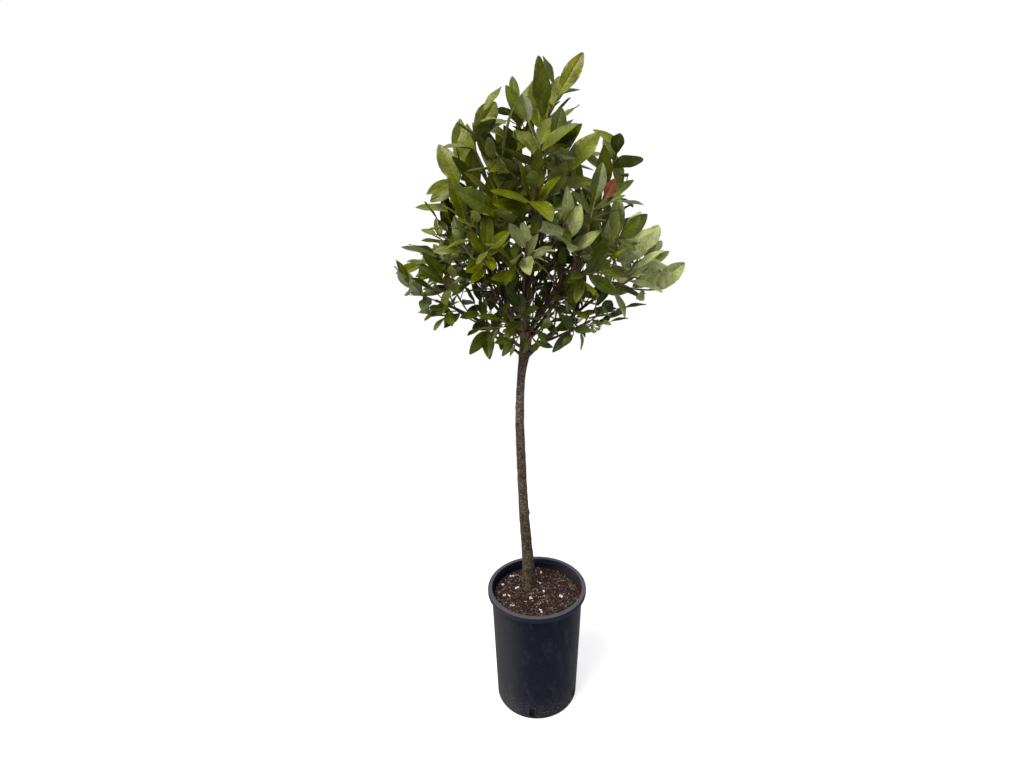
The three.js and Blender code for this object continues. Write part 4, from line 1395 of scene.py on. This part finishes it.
def soil_material():
    soil = Finish("potting_mix", 0.95, Specular_IOR_Level=0.15)
    crumbs = soil.noise(420, detail=4, rough=0.7)
    stops = [(0.3, srgb(12, 9, 9)), (0.5, srgb(32, 23, 22)), (0.7, srgb(70, 52, 47))]
    # Below 0.3 m the potting mix is painted near black: painted shade, for what shows through the drain
    # holes.
    top = soil.step(soil.part("Z"), 0.3, 0.34)
    mixed = soil.mix(top, srgb(6, 5, 5), soil.ramp(crumbs, *stops))
    soil.feed(Base_Color=mixed, Normal=soil.bump(crumbs, 0.002))
    return soil.material


CHIP_COLOURS = {
    "chips_dark": ((26, 19, 20), (44, 34, 34)),
    "chips_brown": ((58, 43, 41), (80, 62, 57)),
    "chips_red": ((76, 46, 38), (98, 64, 54)),
    "chips_tan": ((112, 90, 77), (146, 122, 105)),
}


def chip_material(name):
    chip = Finish(name, 0.9, Specular_IOR_Level=0.2)
    fibre = chip.noise(500, detail=3)
    dark, light = (srgb(*levels) for levels in CHIP_COLOURS[name])
    chip.feed(Base_Color=chip.mix(fibre, dark, light), Normal=chip.bump(fibre, 0.0006))
    return chip.material


def fibre_material():
    fibre = Finish("coir_fibre", 0.85, Specular_IOR_Level=0.2)
    fibre.feed(Base_Color=fibre.mix(fibre.noise(60), srgb(92, 72, 60), srgb(138, 116, 98)))
    return fibre.material


def grit_material():
    grit = Finish("white_grit", 0.8, Specular_IOR_Level=0.3)
    pits = grit.noise(700, detail=3)
    grit.feed(
        Base_Color=grit.mix(pits, srgb(172, 160, 156), srgb(232, 222, 218)),
        Normal=grit.bump(pits, 0.0008),
    )
    return grit.material


def floor_material():
    floor = Finish("pale_floor", 0.9, Specular_IOR_Level=0, Emission_Strength=FLOOR_GLOW)
    floor.shader.inputs["Emission Color"].default_value = (1, 1, 1, 1)
    floor.feed(Base_Color=(FLOOR_COLOUR, FLOOR_COLOUR, FLOOR_COLOUR, 1))
    return floor.material


def set_stage():
    """The pale floor, the sun, the sky and the camera."""
    bpy.ops.mesh.primitive_circle_add(vertices=FLOOR_SIDES, radius=FLOOR_RADIUS, fill_type="NGON")
    floor = bpy.context.object
    floor.name = "floor"
    floor.location.z = -FLOOR_DROP
    floor.data.materials.append(floor_material())
    sun = bpy.data.objects.new("sun", bpy.data.lights.new("sun", "SUN"))
    sun.data.energy = SUN_STRENGTH
    sun.data.angle = math.radians(SUN_WIDTH_DEG)
    sun.data.color = srgb(*SUN_COLOUR)[:3]
    sun.rotation_euler = Vector(SUN_FROM).to_track_quat("Z", "Y").to_euler()
    camera = bpy.data.objects.new("camera", bpy.data.cameras.new("camera"))
    camera.location = CAMERA_AT
    camera.rotation_euler = (math.radians(90 - CAMERA_DOWN_DEG), 0, 0)
    camera.data.sensor_width = SENSOR_MM
    camera.data.lens = CAMERA_FOCAL_PX / PICTURE_PX[0] * SENSOR_MM
    camera.data.shift_x = (PICTURE_PX[0] / 2 - CAMERA_MIDDLE_PX) / PICTURE_PX[0]
    scene = bpy.context.scene
    for thing in (sun, camera):
        scene.collection.objects.link(thing)
    scene.camera = camera
    scene.view_settings.view_transform = "Standard"
    set_sky()


def set_sky():
    """A soft sky, bright overhead and dim below, that the camera sees as plain white."""
    world = bpy.data.worlds.new("sky")
    world.use_nodes = True
    bpy.context.scene.world = world
    sky = Nodes(world.node_tree)
    seen = sky.node("LightPath", output="Is Camera Ray")
    up = sky.node("SeparateXYZ", {}, {0: sky.node("TexCoord", output="Generated")}, output="Z")
    above = sky.step(up, 0, 1)
    below = sky.step(up, SKY_BELOW_FROM, 0)
    light = SKY_BELOW + (SKY_LEVEL - SKY_BELOW) * below + (SKY_OVERHEAD - SKY_LEVEL) * above
    background = sky.nodes["Background"]
    sky.put(background.inputs["Strength"], light + seen * (1 - light))
    sky.put(background.inputs["Color"], sky.mix(seen, srgb(*SKY_COLOUR), srgb(255, 255, 255)))


set_stage()
crown, trunk, boughs, stems = grow_crown()
bark_piece(trunk, boughs)
foliage_pieces(crown, stems)
pot_piece()
potting_mix_piece()
litter_pieces(trunk.at(0))
